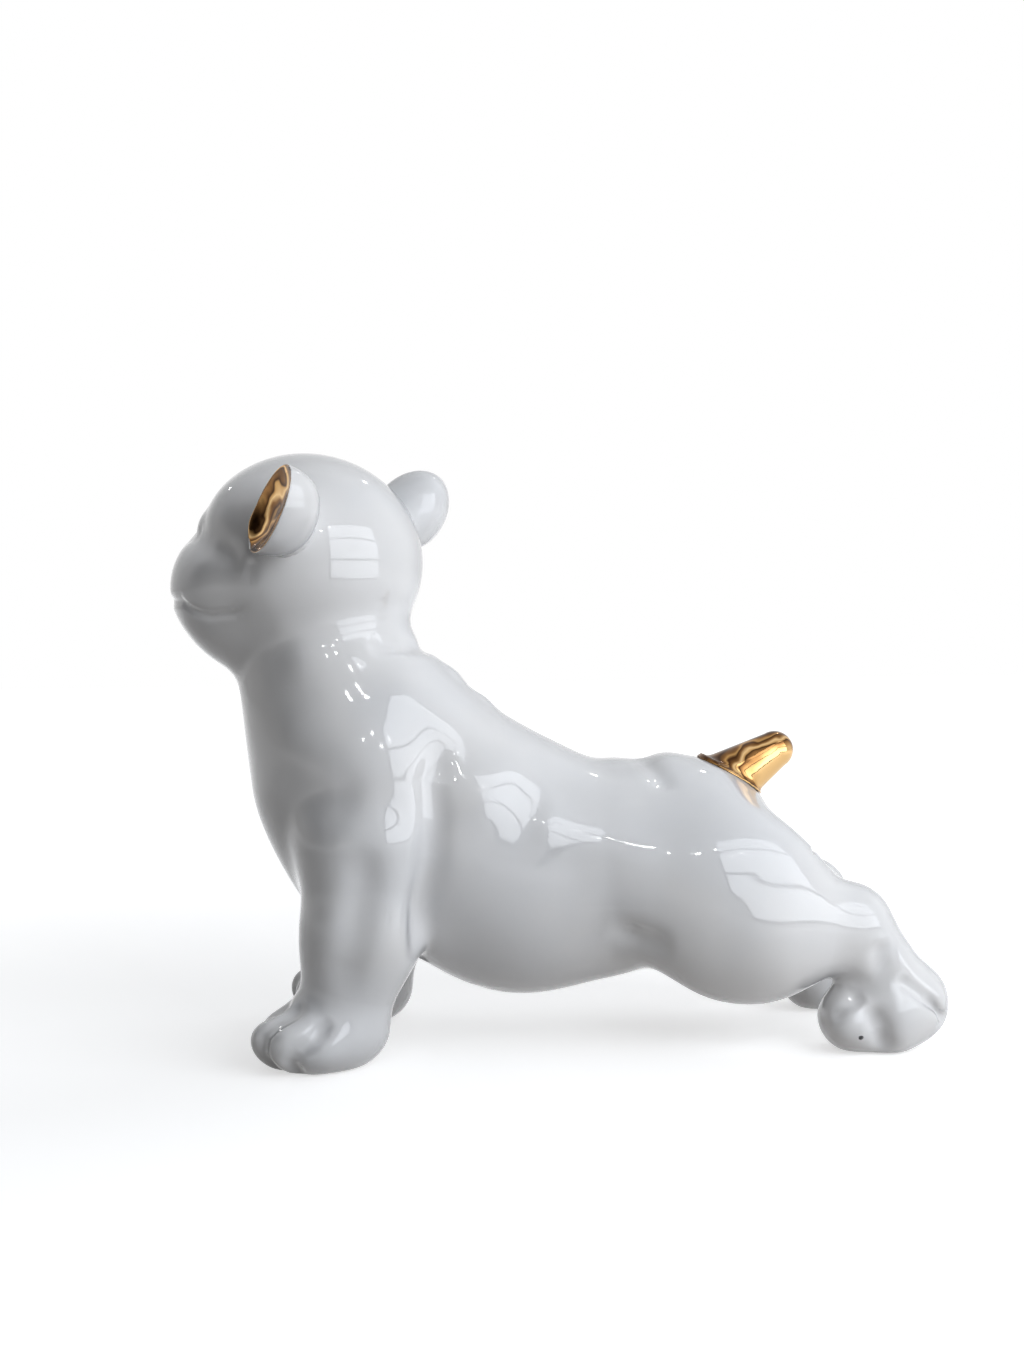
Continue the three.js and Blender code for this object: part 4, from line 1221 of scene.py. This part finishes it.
# A grey screen left of the camera that shades the chest and fades out towards its edge
SCREEN = dict(place=(-0.80, -0.42, 0.52), target=(0, 0, 0.40), wide=1.9, high=1.35)
SCREEN_SHADE = (0.06, 0.050, 0.042)


def make_screen():
    material, nodes = new_material("screen")
    shade = nodes.add("BsdfDiffuse")
    shade.inputs["Color"].default_value = (*SCREEN_SHADE, 1)
    clear = nodes.add("BsdfTransparent")
    middle = nodes.add("VectorMath", operation="MULTIPLY")
    nodes.join(nodes.add("TexCoord").outputs["Object"], middle.inputs[0])
    middle.inputs[1].default_value = (2 / SCREEN["wide"], 2 / SCREEN["high"], 0)
    reach = nodes.add("VectorMath", operation="LENGTH")
    nodes.join(middle.outputs["Vector"], reach.inputs[0])
    output = nodes.add("OutputMaterial")
    share = nodes.ramp(reach.outputs["Value"], 0.2, 1.0, 0, 1)
    either_shader(nodes, share, shade.outputs[0], clear.outputs[0], output.inputs["Surface"])
    card = panel("screen", material, SCREEN["wide"], SCREEN["high"])
    card.matrix_world = aimed(SCREEN["place"], SCREEN["target"])
    card.visible_camera = False


# The camera, from the photograph's perspective: half a metre away, a little above the puppy's shoulder
CAMERA = dict(away=0.480, turn=-3.0, pitch=2.5, roll=0.7, height=0.1308)
LENS_PIXELS = 1558
IMAGE_WIDTH = 1024
SENSOR = 36.0
NEAR_CLIP = 0.01


def make_camera():
    turn, pitch, roll = (math.radians(CAMERA[key]) for key in ("turn", "pitch", "roll"))
    place = Vector((CAMERA["away"] * math.sin(turn), -CAMERA["away"] * math.cos(turn), CAMERA["height"]))
    place -= Vector(FRAME_MIDDLE) * METRE
    flat, drop = math.cos(pitch), math.sin(pitch)
    look = Vector((-math.sin(turn) * flat, math.cos(turn) * flat, -drop))
    level = Vector((math.cos(turn), math.sin(turn), 0))
    upright = level.cross(look)
    right = math.cos(roll) * level - math.sin(roll) * upright
    up = math.sin(roll) * level + math.cos(roll) * upright
    data = bpy.data.cameras.new("camera")
    data.sensor_fit = "HORIZONTAL"
    data.sensor_width = SENSOR
    data.lens = LENS_PIXELS * SENSOR / IMAGE_WIDTH
    data.clip_start = NEAR_CLIP
    camera = bpy.data.objects.new("camera", data)
    camera.matrix_world = Matrix.Translation(place) @ Matrix((right, up, -look)).transposed().to_4x4()
    bpy.context.scene.collection.objects.link(camera)
    bpy.context.scene.camera = camera


make_floor()
make_world()
make_lights()
make_window_frame()
make_screen()
make_camera()
bpy.context.scene.view_settings.view_transform = "Standard"
